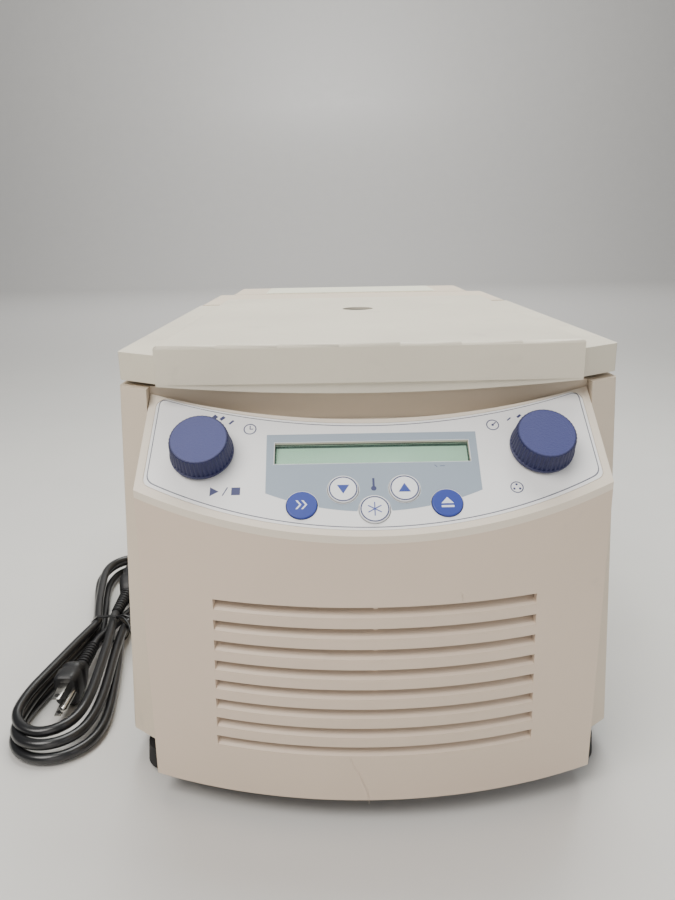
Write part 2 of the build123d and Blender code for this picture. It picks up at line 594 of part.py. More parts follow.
with BuildPart() as lid_foam:
    with BuildSketch(Plane.XY.offset(LID_PLATE_Z + 2.2)):
        with Locations((0, CHAMBER_Y)):
            Circle(80)
            Circle(15, mode=Mode.SUBTRACT)
    extrude(amount=11.0)

with BuildPart() as viewing_port:
    add(chamber_turning([(0, 251.6), (PORT_R - 0.3, 251.6), (PORT_R - 0.3, 253.4), (0, 253.4)]))

# ------------------------------------------------------------------ hinge
hinge_line = Plane(origin=(0, HINGE_Y, HINGE_Z), x_dir=(0, 1, 0), z_dir=(1, 0, 0))
ARM_WIDTH = 10.0
with BuildPart() as lid_hinge_arms:
    for x in (-ARM_X, ARM_X):
        with BuildSketch(hinge_line.offset(x - ARM_WIDTH / 2)):
            Circle(6.0)
            with Locations((-13, 3.5)):
                Rectangle(26, 5)
            Circle(PIN_R + RUN_FIT, mode=Mode.SUBTRACT)
        extrude(amount=ARM_WIDTH)
    with Locations((0, LID_REAR_Y - WALL - 7.5, HINGE_Z + 3.5)):
        Box(2 * ARM_X + 40, 14, 5)

with BuildPart() as hinge_pin:
    with BuildSketch(hinge_line.offset(-98)):
        Circle(PIN_R)
    extrude(amount=196)

with BuildPart() as hinge_brackets:
    for x in (-74, 74):
        with BuildSketch(hinge_line.offset(x - 4)):
            Circle(5.6)
            with Locations((2.0, 2.5)):
                Rectangle(8, 8.6)
            Circle(PIN_R + RUN_FIT, mode=Mode.SUBTRACT)
        extrude(amount=8)

with BuildPart() as lid_springs:
    for start in (-96.0, 81.0):
        with BuildLine() as coil:
            Helix(2.4, 14.4, 4.9, center=(start, HINGE_Y, HINGE_Z), direction=(1, 0, 0))
        with BuildSketch(Plane(origin=coil.line @ 0, z_dir=coil.line % 0)):
            Circle(0.9)
        sweep(path=coil.line, is_frenet=True)

# ------------------------------------------------------------------ lid latch and emergency release
with BuildPart() as lid_latch_hook:
    with BuildSketch(Plane.YZ.offset(-8)):
        with BuildLine():
            Polyline((LATCH_Y - 3, 237.6), (LATCH_Y - 3, 212), (LATCH_Y + 5, 212), (LATCH_Y + 5, 216),
                     (LATCH_Y + 1, 218), (LATCH_Y + 1, 237.6), close=True)
        make_face()
    extrude(amount=16)

PAWL_Y, PAWL_Z = -168.0, 206.0
pawl_plane = Plane(origin=(0, PAWL_Y, PAWL_Z), x_dir=(0, 1, 0), z_dir=(1, 0, 0))
with BuildPart() as latch_pawl:
    with BuildSketch(pawl_plane.offset(-5)):
        Circle(5.0)
        with BuildLine():
            Polyline((-4, 0), (4, 0), (0, 17), (-9, 17), (-9, 14), (-4, 13), close=True)
        make_face()
        Circle(2.5 + RUN_FIT, mode=Mode.SUBTRACT)
    extrude(amount=10)

with BuildPart() as latch_housing:
    with Locations((0, -176, 196.5)):
        Box(41, 42, 3)
    with Locations((-19, -176, 212), (19, -176, 212)):
        Box(3, 42, 34)
    with BuildSketch(pawl_plane.offset(-18.5)):
        Circle(2.5)
    extrude(amount=37)

with BuildPart() as emergency_release:
    with BuildSketch(Plane.YZ.offset(112)):
        with Locations(RELEASE_YZ):
            Circle(2.2)
    extrude(amount=30)
    with BuildSketch(Plane.YZ.offset(142)):
        with Locations(RELEASE_YZ):
            Circle(7)
    extrude(amount=2.4)

# ------------------------------------------------------------------ refrigeration
COMPRESSOR_XY, COMPRESSOR_R = (-40.0, 137.0), 50.0
with BuildPart() as compressor:
    with BuildSketch(Plane(origin=(*COMPRESSOR_XY, 0), x_dir=(1, 0, 0), z_dir=(0, -1, 0))):
        with BuildLine():
            Polyline((0, 40.5), (40, 40.5), (47, 43), (COMPRESSOR_R, 50), (COMPRESSOR_R, 84),
                     (COMPRESSOR_R + 2, 84), (COMPRESSOR_R + 2, 89), (COMPRESSOR_R, 89), (COMPRESSOR_R, 130),
                     (46, 145), (36, 157), (20, 165), (0, 168), close=True)
        make_face()
    revolve(axis=Axis((*COMPRESSOR_XY, 0), (0, 0, 1)))
    with BuildSketch(Plane.XY.offset(34)):
        with Locations(COMPRESSOR_XY):
            RectangleRounded(96, 82, 10)
    extrude(amount=6.6)

with BuildPart() as rubber_mounts:
    with BuildSketch(Plane.XY.offset(21)):
        with Locations(COMPRESSOR_XY):
            with GridLocations(78, 64, 2, 2):
                Circle(7)
    extrude(amount=13)
    with BuildSketch(Plane.XY.offset(21)):
        with Locations((0, CHAMBER_Y)):
            with PolarLocations(54, 3, start_angle=90):
                Circle(9)
    extrude(amount=20)

PIPE_R = 3.0
with BuildPart() as discharge_pipe:
    with BuildLine() as discharge_route:
        FilletPolyline((-92.6, 137, 70), (-131, 137, 70), (-131, -188, 70), (-85, -188, 70), radius=12)
    with BuildSketch(Plane(origin=discharge_route.line @ 0, z_dir=discharge_route.line % 0)):
        Circle(PIPE_R)
    sweep(path=discharge_route.line)

CONDENSER_Y, CONDENSER_DEEP = -188.0, 20.0
FIN_COUNT = 31
with BuildPart() as condenser:
    with BuildSketch(Plane.YZ.offset(-80)):
        with Locations((CONDENSER_Y, 94)):
            Rectangle(CONDENSER_DEEP, 104)
    extrude(amount=0.6)
    for fin in range(1, FIN_COUNT):
        with BuildSketch(Plane.YZ.offset(-80 + fin * 159.4 / (FIN_COUNT - 1))):
            with Locations((CONDENSER_Y, 94)):
                Rectangle(CONDENSER_DEEP, 104)
        extrude(amount=0.6)
    with BuildSketch(Plane.YZ.offset(-82)):
        with Locations((CONDENSER_Y, 94)):
            with GridLocations(0, 20, 1, 5):
                Circle(3.5)
    extrude(amount=164)

FAN_Y, FAN_Z = -160.0, 90.0
with BuildPart() as fan_frame:
    with BuildSketch(Plane.XZ.offset(-FAN_Y + 11)):
        with Locations((0, FAN_Z)):
            RectangleRounded(104, 104, 6)
            Circle(48, mode=Mode.SUBTRACT)
    extrude(amount=-22)
    with BuildSketch(Plane.XZ.offset(-FAN_Y - 8)):
        with Locations((0, FAN_Z)):
            Circle(16)
            with PolarLocations(33, 4, start_angle=45):
                Rectangle(36, 4)
    extrude(amount=-3)

FAN_BLADES = 7
with BuildPart() as condenser_fan:
    with BuildSketch(Plane.XZ.offset(-FAN_Y + 9)):
        with Locations((0, FAN_Z)):
            Circle(17)
    extrude(amount=-15)
    for turn in range(FAN_BLADES):
        spoke = Plane(origin=(0, FAN_Y - 1.5, FAN_Z), z_dir=(
            sin(radians(360 / FAN_BLADES * turn)), 0, cos(radians(360 / FAN_BLADES * turn))),
            x_dir=(0, 1, 0))
        with BuildSketch(spoke.offset(15)):
            Rectangle(12, 1.6, rotation=35)
        extrude(amount=29)

# ------------------------------------------------------------------ mains entry and power board
with BuildPart() as mains_inlet:
    with Locations((INLET_X, BACK_Y + 1.1, INLET_Z)):
        Box(32, 2, 52)
    with Locations((INLET_X, BACK_Y - 12, INLET_Z)):
        Box(28, 26, 48)
    with Locations((INLET_X, BACK_Y - 7, INLET_Z + 9)):
        Box(24.4, 20, 16.4, mode=Mode.SUBTRACT)
    with Locations((INLET_X, BACK_Y - 7, INLET_Z - 15)):
        Box(24, 26, 12, mode=Mode.SUBTRACT)
    with BuildSketch(Plane.XZ.offset(-BACK_Y + 18)):
        with Locations((INLET_X - 7, INLET_Z + 7), (INLET_X + 7, INLET_Z + 7), (INLET_X, INLET_Z + 11)):
            Rectangle(2, 4)
    extrude(amount=-16)

with BuildPart() as fuse_drawer:
    with Locations((INLET_X, BACK_Y - 7, INLET_Z - 15)):
        Box(23.2, 22, 11.2)
    with Locations((INLET_X, BACK_Y + 3.2, INLET_Z - 15)):
        Box(23.2, 2.4, 11.2)
    with Locations((INLET_X, BACK_Y - 8, INLET_Z - 12)):
        Box(18, 18, 7, mode=Mode.SUBTRACT)

ROCKER_TILT = 8.0
with BuildPart() as switch_frame:
    with Locations((SWITCH_X, BACK_Y + 1.1, SWITCH_Z)):
        Box(34, 2, 26)
    with Locations((SWITCH_X, BACK_Y - 8, SWITCH_Z)):
        Box(29.8, 18, 21.8)
    with Locations((SWITCH_X, BACK_Y, SWITCH_Z)):
        Box(26.2, 22, 18.2, mode=Mode.SUBTRACT)
    with Locations((SWITCH_X, BACK_Y - 4, SWITCH_Z)):
        Cylinder(1.66, 20.2, mode=Mode.SUBTRACT)

rocker_plane = Plane(origin=(SWITCH_X, BACK_Y - 4, SWITCH_Z - 8.6), z_dir=(0, 0, 1),
                     x_dir=(cos(radians(ROCKER_TILT)), -sin(radians(ROCKER_TILT)), 0))
with BuildPart() as power_rocker:
    with BuildSketch(rocker_plane):
        with BuildLine():
            Polyline((-8, -3), (8, -3), (11.6, 6.4), (0, 4.4), (-11.6, 6.4), close=True)
        make_face()
    extrude(amount=17.2)
    with Locations((SWITCH_X, BACK_Y - 4, SWITCH_Z)):
        Cylinder(1.6, 19.4)

with BuildPart() as power_board:
    with Locations((116, 120, 112)):
        Box(1.6, 96, 130)
    for y, z, deep, high in ((90, 70, 22, 30), (120, 76, 26, 40), (150, 70, 18, 26), (96, 130, 30, 30),
                             (140, 136, 34, 44)):
        with Locations((116 - 0.8 - 12, y, z)):
            Box(24, deep, high)

# ------------------------------------------------------------------ fasteners
with BuildPart() as case_screws:
    with BuildSketch(Plane.XZ.offset(-BACK_Y)):
        with Locations((-98, 50), (98, 50), (-98, 186), (98, 186)):
            Circle(1.7)
    extrude(amount=6)
    with BuildSketch(Plane.XZ.offset(-BACK_Y)):
        with Locations((-98, 50), (98, 50), (-98, 186), (98, 186)):
            Circle(3.2)
    extrude(amount=-1.4)
    with BuildSketch(Plane.XY.offset(BASE_Z - 1.6)):
        with Locations((-134, -120), (134, -120), (-134, 60), (134, 60), (-134, 150), (134, 150)):
            Circle(3.4)
    extrude(amount=1.6)

# ------------------------------------------------------------------ power cord, folded and tied beside the case
CORD_R = 3.4
TIE_Y = -66.0
CORD_LOW, CORD_HIGH = 1.4, 20.6


def loop_outline(circles):
    """Smooth closed outline round a row of circles, each (x, y, radius)."""
    with BuildSketch(Plane.XY.offset(CORD_LOW)) as outline:
        with BuildLine() as arcs:
            for x, y, radius in circles:
                CenterArc((x, y), radius, 0, 360)
        make_hull(arcs.edges())
    return outline.sketch.face()


tie_circle = (-199, TIE_Y, 14.5)
with BuildPart() as power_cord:
    extrude(loop_outline([(-199, -181, 30), tie_circle]), amount=CORD_HIGH - CORD_LOW)
    extrude(loop_outline([(-204, 38, 32), tie_circle]), amount=CORD_HIGH - CORD_LOW)
    extrude(loop_outline([(-204, -172, 17), (-202, -97, 6)]), amount=CORD_HIGH, mode=Mode.SUBTRACT)
    extrude(loop_outline([(-200, 34, 20), (-200, -38, 8)]), amount=CORD_HIGH, mode=Mode.SUBTRACT)

with BuildPart() as cord_tie:
    with BuildSketch(Plane.XZ.offset(-TIE_Y - 1.5)):
        with Locations((-199, 11.3)):
            RectangleRounded(33.2, 22.4, 2.5)
            Rectangle(30.6, 20.0, mode=Mode.SUBTRACT)
    extrude(amount=3)

PLUG_X, PLUG_Y, PLUG_Z = -204.5, -139.0, 12.6
with BuildPart() as power_plug:
    with BuildSketch(Plane.XZ.offset(-PLUG_Y + 13)):
        with Locations((PLUG_X, PLUG_Z)):
            RectangleRounded(16.5, 24, 5)
    extrude(amount=-18)
    with BuildSketch(Plane.XZ.offset(-PLUG_Y - 5)) as plug_shoulder:
        with Locations((PLUG_X, PLUG_Z)):
            RectangleRounded(16.5, 24, 5)
    with BuildSketch(Plane.XZ.offset(-PLUG_Y - 16)) as relief_root:
        with Locations((PLUG_X + 1, PLUG_Z)):
            RectangleRounded(11, 11, 5)
    loft()
    with BuildSketch(Plane.XZ.offset(-PLUG_Y - 16)):
        with Locations((PLUG_X + 1, PLUG_Z)):
            Circle(5.2)
    extrude(amount=-32, taper=1.5)
    for z in (PLUG_Z - 6.35, PLUG_Z + 6.35):
        with Locations((PLUG_X, PLUG_Y - 13 - 8.7, z)):
            Box(6.3, 17.6, 1.5)
    with BuildSketch(Plane.XZ.offset(-PLUG_Y + 13)):
        with Locations((PLUG_X + 5.0, PLUG_Z)):
            Circle(2.3)
    extrude(amount=20)

CONNECTOR_X, CONNECTOR_Y, CONNECTOR_Z = -199.5, 6.0, 14.2
with BuildPart() as power_connector:
    with BuildSketch(Plane.XZ.offset(-CONNECTOR_Y - 17)):
        with Locations((CONNECTOR_X, CONNECTOR_Z)):
            RectangleRounded(16.4, 27, 3)
    extrude(amount=30)
    for dz in (-7, 0, 7):
        with Locations((CONNECTOR_X + (2 if dz == 0 else -1), CONNECTOR_Y + 14, CONNECTOR_Z + dz)):
            Box(4.6, 8, 2.6, mode=Mode.SUBTRACT)
    with BuildSketch(Plane.XZ.offset(-CONNECTOR_Y + 13)):
        with Locations((CONNECTOR_X, CONNECTOR_Z)):
            RectangleRounded(14, 15, 4)
    with BuildSketch(Plane.XZ.offset(-CONNECTOR_Y + 19)):
        with Locations((CONNECTOR_X, CONNECTOR_Z)):
            Circle(5.4)
    loft()
    with BuildSketch(Plane.XZ.offset(-CONNECTOR_Y + 19)):
        with Locations((CONNECTOR_X, CONNECTOR_Z)):
            Circle(5.4)
    extrude(amount=34, taper=1.5)

# ------------------------------------------------------------------ write every piece
pieces = {
    "main_housing": main_housing, "rear_cover": rear_cover, "rating_label": rating_label,
    "back_panel": back_panel, "base_plate": base_plate, "rubber_feet": rubber_feet,
    "front_panel": front_panel, "control_panel": control_panel, "control_overlay": control_overlay,
    "lcd_window": lcd_window, "lcd_module": lcd_module, "control_board": control_board,
    **buttons, **knobs, **shafts, **plungers,
    "rotor_chamber": rotor_chamber, "chamber_gasket": chamber_gasket,
    "chamber_insulation": chamber_insulation, "evaporator_coil": evaporator_coil,
    "motor_housing": motor_housing, "rubber_mounts": rubber_mounts, "drive_shaft": drive_shaft,
    "rotor": rotor,
    "rotor_lid": rotor_lid, "rotor_lid_knob": rotor_lid_knob,
    "lid_cover": lid_cover, "lid_inner_plate": lid_inner_plate, "lid_foam": lid_foam,
    "viewing_port": viewing_port,
    "lid_hinge_arms": lid_hinge_arms, "hinge_pin": hinge_pin, "hinge_brackets": hinge_brackets,
    "lid_springs": lid_springs, "lid_latch_hook": lid_latch_hook, "latch_pawl": latch_pawl,
    "latch_housing": latch_housing, "emergency_release": emergency_release,
    "compressor": compressor,
    "discharge_pipe": discharge_pipe, "condenser": condenser, "fan_frame": fan_frame,
    "condenser_fan": condenser_fan, "mains_inlet": mains_inlet, "fuse_drawer": fuse_drawer,
    "switch_frame": switch_frame, "power_rocker": power_rocker, "power_board": power_board,
    "case_screws": case_screws,
    "power_cord": power_cord, "cord_tie": cord_tie, "power_plug": power_plug,
    "power_connector": power_connector,
}
for name, piece in pieces.items():
    piece.part.label = name
    export_step(piece.part, f"parts/{name}.step")
print(len(pieces), "pieces")
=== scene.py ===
"""Refrigerated bench microcentrifuge: the looks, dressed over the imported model, in metres."""
import math

import bmesh
import bpy
from mathutils import Matrix, Vector


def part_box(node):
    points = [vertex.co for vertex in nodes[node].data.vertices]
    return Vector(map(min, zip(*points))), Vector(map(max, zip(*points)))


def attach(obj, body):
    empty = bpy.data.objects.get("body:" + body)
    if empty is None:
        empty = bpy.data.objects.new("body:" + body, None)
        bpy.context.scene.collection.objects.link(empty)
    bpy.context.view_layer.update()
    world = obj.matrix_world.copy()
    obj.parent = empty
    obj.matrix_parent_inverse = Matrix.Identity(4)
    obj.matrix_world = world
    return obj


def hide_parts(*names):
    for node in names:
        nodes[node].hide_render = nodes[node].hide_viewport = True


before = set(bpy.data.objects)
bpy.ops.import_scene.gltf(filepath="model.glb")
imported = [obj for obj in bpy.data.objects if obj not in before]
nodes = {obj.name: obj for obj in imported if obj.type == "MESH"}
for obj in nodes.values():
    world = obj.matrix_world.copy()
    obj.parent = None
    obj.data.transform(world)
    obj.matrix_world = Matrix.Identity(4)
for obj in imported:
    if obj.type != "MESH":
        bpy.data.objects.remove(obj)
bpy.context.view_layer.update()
MM = 0.001

# ================================================================ camera
# A short lens held close to the front of the machine, a little left of its middle, looking down over the lid.
camera_data = bpy.data.cameras.new("camera")
camera_data.lens = 29.6
camera_data.sensor_width = 36.0
camera = bpy.data.objects.new("camera", camera_data)
bpy.context.collection.objects.link(camera)
camera.matrix_world = (
    Matrix.Translation((-0.01809, -0.5896, 0.3083))
    @ Matrix.Rotation(math.radians(-0.143), 4, "Z")
    @ Matrix.Rotation(math.radians(73.703), 4, "X")
    @ Matrix.Rotation(math.radians(-0.989), 4, "Z")
)
bpy.context.scene.camera = camera


# ================================================================ power cord
# Three-core mains lead, 1.82 m, with a black PVC sheath, folded into a long hank by hand.
# It leaves the appliance connector, runs three times round the hank and ends in the plug.
def card(red, green, blue):
    """Linear colour from the 0-255 values of a colour card."""
    return tuple(((c / 255 + 0.055) / 1.055) ** 2.4 if c > 10 else c / 3295 for c in (red, green, blue)) + (1.0,)


SLOW_MOTTLE = 17.0
DUST_PATCH = 55.0
GLOSS_SPREAD = 0.08


def finish(name, colour, rough=0.5, grain=900.0, bump=0.15, mottle=0.05, metal=0.0, coat=0.0, specular=0.5,
           dust=None, dust_from=0.6, stretch=(1, 1, 1)):
    """A solid finish: colour that wanders slowly, a fine grain in the surface and, if asked, some dust."""
    material = bpy.data.materials.new(name)
    material.use_nodes = True
    tree = material.node_tree
    shader = tree.nodes["Principled BSDF"]
    shader.inputs["Metallic"].default_value = metal
    shader.inputs["Coat Weight"].default_value = coat
    shader.inputs["Coat Roughness"].default_value = 0.18
    shader.inputs["Specular IOR Level"].default_value = specular
    place = tree.nodes.new("ShaderNodeTexCoord")
    pull = tree.nodes.new("ShaderNodeMapping")
    pull.inputs["Scale"].default_value = stretch
    tree.links.new(place.outputs["Object"], pull.inputs["Vector"])

    def noise(scale, detail):
        texture = tree.nodes.new("ShaderNodeTexNoise")
        texture.inputs["Scale"].default_value = scale
        texture.inputs["Detail"].default_value = detail
        tree.links.new(pull.outputs["Vector"], texture.inputs["Vector"])
        return texture.outputs["Fac"]

    slow, fine = noise(SLOW_MOTTLE, 4.0), noise(grain, 2.0)
    spread = tree.nodes.new("ShaderNodeValToRGB")
    for element, position, gain in zip(spread.color_ramp.elements, (0.3, 0.7), (1 - mottle, 1 + mottle)):
        element.position = position
        element.color = tuple(min(1.0, c * gain) for c in colour[:3]) + (1.0,)
    tree.links.new(slow, spread.inputs["Fac"])
    shown = spread.outputs["Color"]
    if dust:
        mask = tree.nodes.new("ShaderNodeMapRange")
        mask.inputs["From Min"].default_value = dust_from
        mask.inputs["From Max"].default_value = dust_from + 0.16
        mask.inputs["To Max"].default_value = 0.5
        tree.links.new(noise(DUST_PATCH, 9.0), mask.inputs["Value"])
        mix = tree.nodes.new("ShaderNodeMixRGB")
        mix.inputs["Color2"].default_value = dust
        tree.links.new(mask.outputs["Result"], mix.inputs["Fac"])
        tree.links.new(shown, mix.inputs["Color1"])
        shown = mix.outputs["Color"]
    tree.links.new(shown, shader.inputs["Base Color"])
    gloss = tree.nodes.new("ShaderNodeMapRange")
    gloss.inputs["To Min"].default_value = max(0.04, rough - GLOSS_SPREAD)
    gloss.inputs["To Max"].default_value = min(1.0, rough + GLOSS_SPREAD)
    tree.links.new(slow, gloss.inputs["Value"])
    tree.links.new(gloss.outputs["Result"], shader.inputs["Roughness"])
    relief = tree.nodes.new("ShaderNodeBump")
    relief.inputs["Strength"].default_value = bump
    relief.inputs["Distance"].default_value = 0.3 * MM
    tree.links.new(fine, relief.inputs["Height"])
    tree.links.new(relief.outputs["Normal"], shader.inputs["Normal"])
    return material


def dress(material, *names):
    """CAD nodes take a finish."""
    for name in names:
        nodes[name].data.materials.clear()
        nodes[name].data.materials.append(material)


def add(name, shape, material, body, sharp=35):
    """A finished bmesh becomes an object that rides on a body."""
    mesh = bpy.data.meshes.new(name)
    bmesh.ops.recalc_face_normals(shape, faces=shape.faces)
    shape.to_mesh(mesh)
    shape.free()
    made = bpy.data.objects.new(name, mesh)
    bpy.context.collection.objects.link(made)
    for one in material if isinstance(material, (list, tuple)) else [material]:
        mesh.materials.append(one)
    mesh.shade_smooth()
    mesh.set_sharp_from_angle(angle=math.radians(sharp))
    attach(made, body)
    return made


cord_pvc = finish("cord_pvc", card(23, 23, 25), rough=0.34, grain=2600, bump=0.1, mottle=0.15, coat=0.3,
                  dust=card(70, 68, 64), dust_from=0.66)
CORD_R = 3.4 * MM
TIE_X, TIE_Y = -199.0, -66.0
# where each pass goes through the tie, (across, height): forward from the rear loop, then back from the front loop
FORWARD = ((3.0, 17.8), (10.6, 11.3), (7.4, 4.9), (0.3, 11.4))
BACKWARD = ((-8.6, 17.3), (-11.2, 11.0), (-7.8, 4.9))
# each front loop, then each rear loop: side it leaves on, side it returns on, far end, heights on leaving,
# at the bend and on returning
FRONT_LOOPS = ((15.0, -27.0, -196.5, 16.8, 14.0, 17.6), (20.5, -26.0, -204.5, 11.2, 11.4, 11.2),
               (27.0, -27.5, -208.5, 4.6, 4.3, 4.6))
REAR_LOOPS = ((-29.5, 19.5, 58.5, 17.2, 15.8, 17.0), (-33.0, 22.5, 65.5, 10.9, 10.8, 10.6),
              (-26.5, 16.5, 60.5, 4.5, 4.2, 4.6))


SHARES = (0.13, 0.3, 0.48, 0.66, 0.84)
WANDERS = (0.5, -0.7, 0.8)
BACK_WANDERS = (-0.8, 0.6, 0.5)


def half_turn(start, end, loop, wander):
    """Points of one loop of the hank, from the tie out to its bend and back to the tie."""
    leaving, returning, far, *heights = loop
    way = math.copysign(1.0, far - TIE_Y)
    radius = (returning - leaving) / 2
    middle = (returning + leaving) / 2
    bend_y = far - way * abs(radius)
    points = [(start[0], TIE_Y, start[1])]
    for share in SHARES:
        out = min(1.0, share * 1.25)
        points.append((start[0] + (leaving - start[0]) * out + wander * math.sin(share * 6),
                       TIE_Y + (bend_y - TIE_Y) * share,
                       start[1] + (heights[0] - start[1]) * min(1.0, share * 1.7)))
    for degrees in (0, 32, 64, 96, 128, 156, 180):
        turn = math.radians(degrees)
        share = degrees / 180
        lift = heights[0] + (heights[1] - heights[0]) * min(1.0, share * 2)
        lift += (heights[2] - heights[1]) * max(0.0, share * 2 - 1)
        points.append((middle - radius * math.cos(turn), bend_y + way * abs(radius) * 1.04 * math.sin(turn), lift))
    for share in reversed(SHARES):
        out = min(1.0, share * 1.25)
        points.append((end[0] + (returning - end[0]) * out - wander * math.sin(share * 7),
                       TIE_Y + (bend_y - TIE_Y) * share,
                       end[1] + (heights[2] - end[1]) * min(1.0, share * 1.7)))
    return points


route = [(-0.5, -47.0, 14.2), (0.2, -53.0, 15.8)]
for turn in range(3):
    route += half_turn(FORWARD[turn], BACKWARD[turn], FRONT_LOOPS[turn], WANDERS[turn])
    route += half_turn(BACKWARD[turn], FORWARD[turn + 1], REAR_LOOPS[turn], BACK_WANDERS[turn])
route += [(0.3, TIE_Y, 11.4), (-1.2, -73.0, 12.2), (-3.8, -82.0, 12.6), (-4.5, -91.0, 12.6), (-4.5, -94.0, 12.6)]
route = [Vector((TIE_X + across, along, height)) * MM for across, along, height in route]
line = bpy.data.curves.new("mains_lead", "CURVE")
line.dimensions = "3D"
spline = line.splines.new("NURBS")
spline.points.add(len(route) - 1)
for point, at in zip(spline.points, route):
    point.co = (*at, 1.0)
spline.order_u = 3
spline.use_endpoint_u = True
spline.resolution_u = 8
line.bevel_depth = CORD_R
line.bevel_resolution = 5
line.use_fill_caps = True
line.materials.append(cord_pvc)
lead = bpy.data.objects.new("mains_lead", line)
bpy.context.collection.objects.link(lead)
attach(lead, "machine")
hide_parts("power_cord")

# ================================================================ mains plug
# Moulded two-blade plug with a round earth pin: soft PVC body over the crimped cord, a ribbed strain relief
# behind it, nickel-plated blades with a hole near each tip.
plug_black = finish("plug_pvc", card(26, 26, 28), rough=0.46, grain=1500, bump=0.2, mottle=0.12)
nickel = finish("nickel_plate", card(214, 211, 204), rough=0.22, grain=1800, bump=0.06, metal=1.0)


def rounded_ring(shape, along, centre, width, height, corner, count=6):
    """Verts of a rounded rectangle across Y, at one place along a moulding."""
    ring = []
    for quarter, (sx, sz) in enumerate(((1, 1), (-1, 1), (-1, -1), (1, -1))):
        for step in range(count + 1):
            turn = math.radians(90 * quarter + 90 * step / count)
            x = centre[0] + sx * (width / 2 - corner) + corner * math.cos(turn)
            z = centre[1] + sz * (height / 2 - corner) + corner * math.sin(turn)
            ring.append(shape.verts.new(Vector((x, along, z)) * MM))
    return ring


def moulding(stations):
    """A closed body through rounded rectangles: (along, (x, z), width, height, corner)."""
    shape = bmesh.new()
    rings = [rounded_ring(shape, *station) for station in stations]
    for near, far in zip(rings, rings[1:]):
        for i in range(len(near)):
            shape.faces.new((near[i], near[(i + 1) % len(near)], far[(i + 1) % len(far)], far[i]))
    shape.faces.new(rings[0])
    shape.faces.new(rings[-1])
    return shape


def ribbed_relief(first, last, centre, thick, thin, ribs):
    """Stations of a strain relief: rings that shrink towards the cord, with a groove between each two."""
    stations = []
    for rib in range(ribs):
        at = first + (last - first) * rib / ribs
        pitch = (last - first) / ribs
        size = thick + (thin - thick) * rib / ribs
        for share, width in ((0.04, size * 0.8), (0.12, size), (0.55, size * 0.98), (0.64, size * 0.78)):
            stations.append((at + pitch * share, centre, width, width, width * 0.46))
    stations.append((last, centre, thin * 0.86, thin * 0.86, thin * 0.4))
    return stations


PLUG = (-204.5, 12.6)
BLADE_OFFSET = 6.35
BLADE_HOLE_Y = -165.6
EARTH_PIN_SHIFT, EARTH_PIN_R = 5.0, 2.35
plug_body = moulding([(-151.2, PLUG, 14.6, 22.0, 4.2), (-152.0, PLUG, 13.4, 20.8, 4.0)][::-1] + [
    (-150.4, PLUG, 15.9, 23.4, 4.8), (-149.0, PLUG, 16.5, 24.0, 5.0), (-141.0, PLUG, 16.5, 24.0, 5.0),
    (-139.6, PLUG, 15.2, 22.8, 5.0), (-136.0, PLUG, 14.4, 22.0, 5.0), (-134.4, PLUG, 15.6, 23.2, 5.2),
    (-131.5, PLUG, 15.2, 21.5, 5.4), (-127.0, (-204.0, 12.6), 13.4, 16.5, 5.4),
    (-123.4, (-203.6, 12.6), 11.6, 12.2, 5.2)] + ribbed_relief(-123.0, -92.0, (-203.5, 12.6), 10.4, 8.2, 9))
plug = add("plug_body", plug_body, plug_black, "machine")
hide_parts("power_plug")

blades = bmesh.new()
for side in (-1, 1):
    flat = bmesh.ops.create_cube(blades, size=1.0, matrix=Matrix.Translation(
        Vector((PLUG[0], -160.5, PLUG[1] + side * BLADE_OFFSET)) * MM) @ Matrix.Diagonal(
        (6.3 * MM, 17.8 * MM, 1.5 * MM, 1.0)))["verts"]
    tip = [v for v in flat if v.co.y < -0.165]
    bmesh.ops.scale(blades, vec=(0.78, 1, 0.55), verts=tip, space=Matrix.Translation(
        -Vector((PLUG[0], 0, PLUG[1] + side * BLADE_OFFSET)) * MM))
bmesh.ops.bevel(blades, geom=blades.edges[:], offset=0.25 * MM, segments=2, profile=0.5, affect="EDGES",
                material=-1)
bmesh.ops.create_cone(blades, cap_ends=True, segments=28, radius1=EARTH_PIN_R * MM,
                      radius2=EARTH_PIN_R * MM, depth=18.5 * MM,
                      matrix=Matrix.Translation(Vector((PLUG[0] + EARTH_PIN_SHIFT, -161.0, PLUG[1])) * MM)
                      @ Matrix.Rotation(math.radians(90), 4, "X"))
bmesh.ops.create_uvsphere(blades, u_segments=28, v_segments=12, radius=EARTH_PIN_R * MM,
                          matrix=Matrix.Translation(Vector((PLUG[0] + EARTH_PIN_SHIFT, -170.2, PLUG[1])) * MM))
plug_blades = add("plug_blades", blades, nickel, "machine")

holes = bmesh.new()
for side in (-1, 1):
    bmesh.ops.create_cone(holes, cap_ends=True, segments=24, radius1=1.55 * MM, radius2=1.55 * MM,
                          depth=1.62 * MM, matrix=Matrix.Translation(
                              Vector((PLUG[0], BLADE_HOLE_Y, PLUG[1] + side * BLADE_OFFSET)) * MM))
hole_dark = finish("blade_hole_shadow", card(18, 17, 16), rough=0.8, grain=900, bump=0.1)
plug_holes = add("plug_blade_holes", holes, hole_dark, "machine")

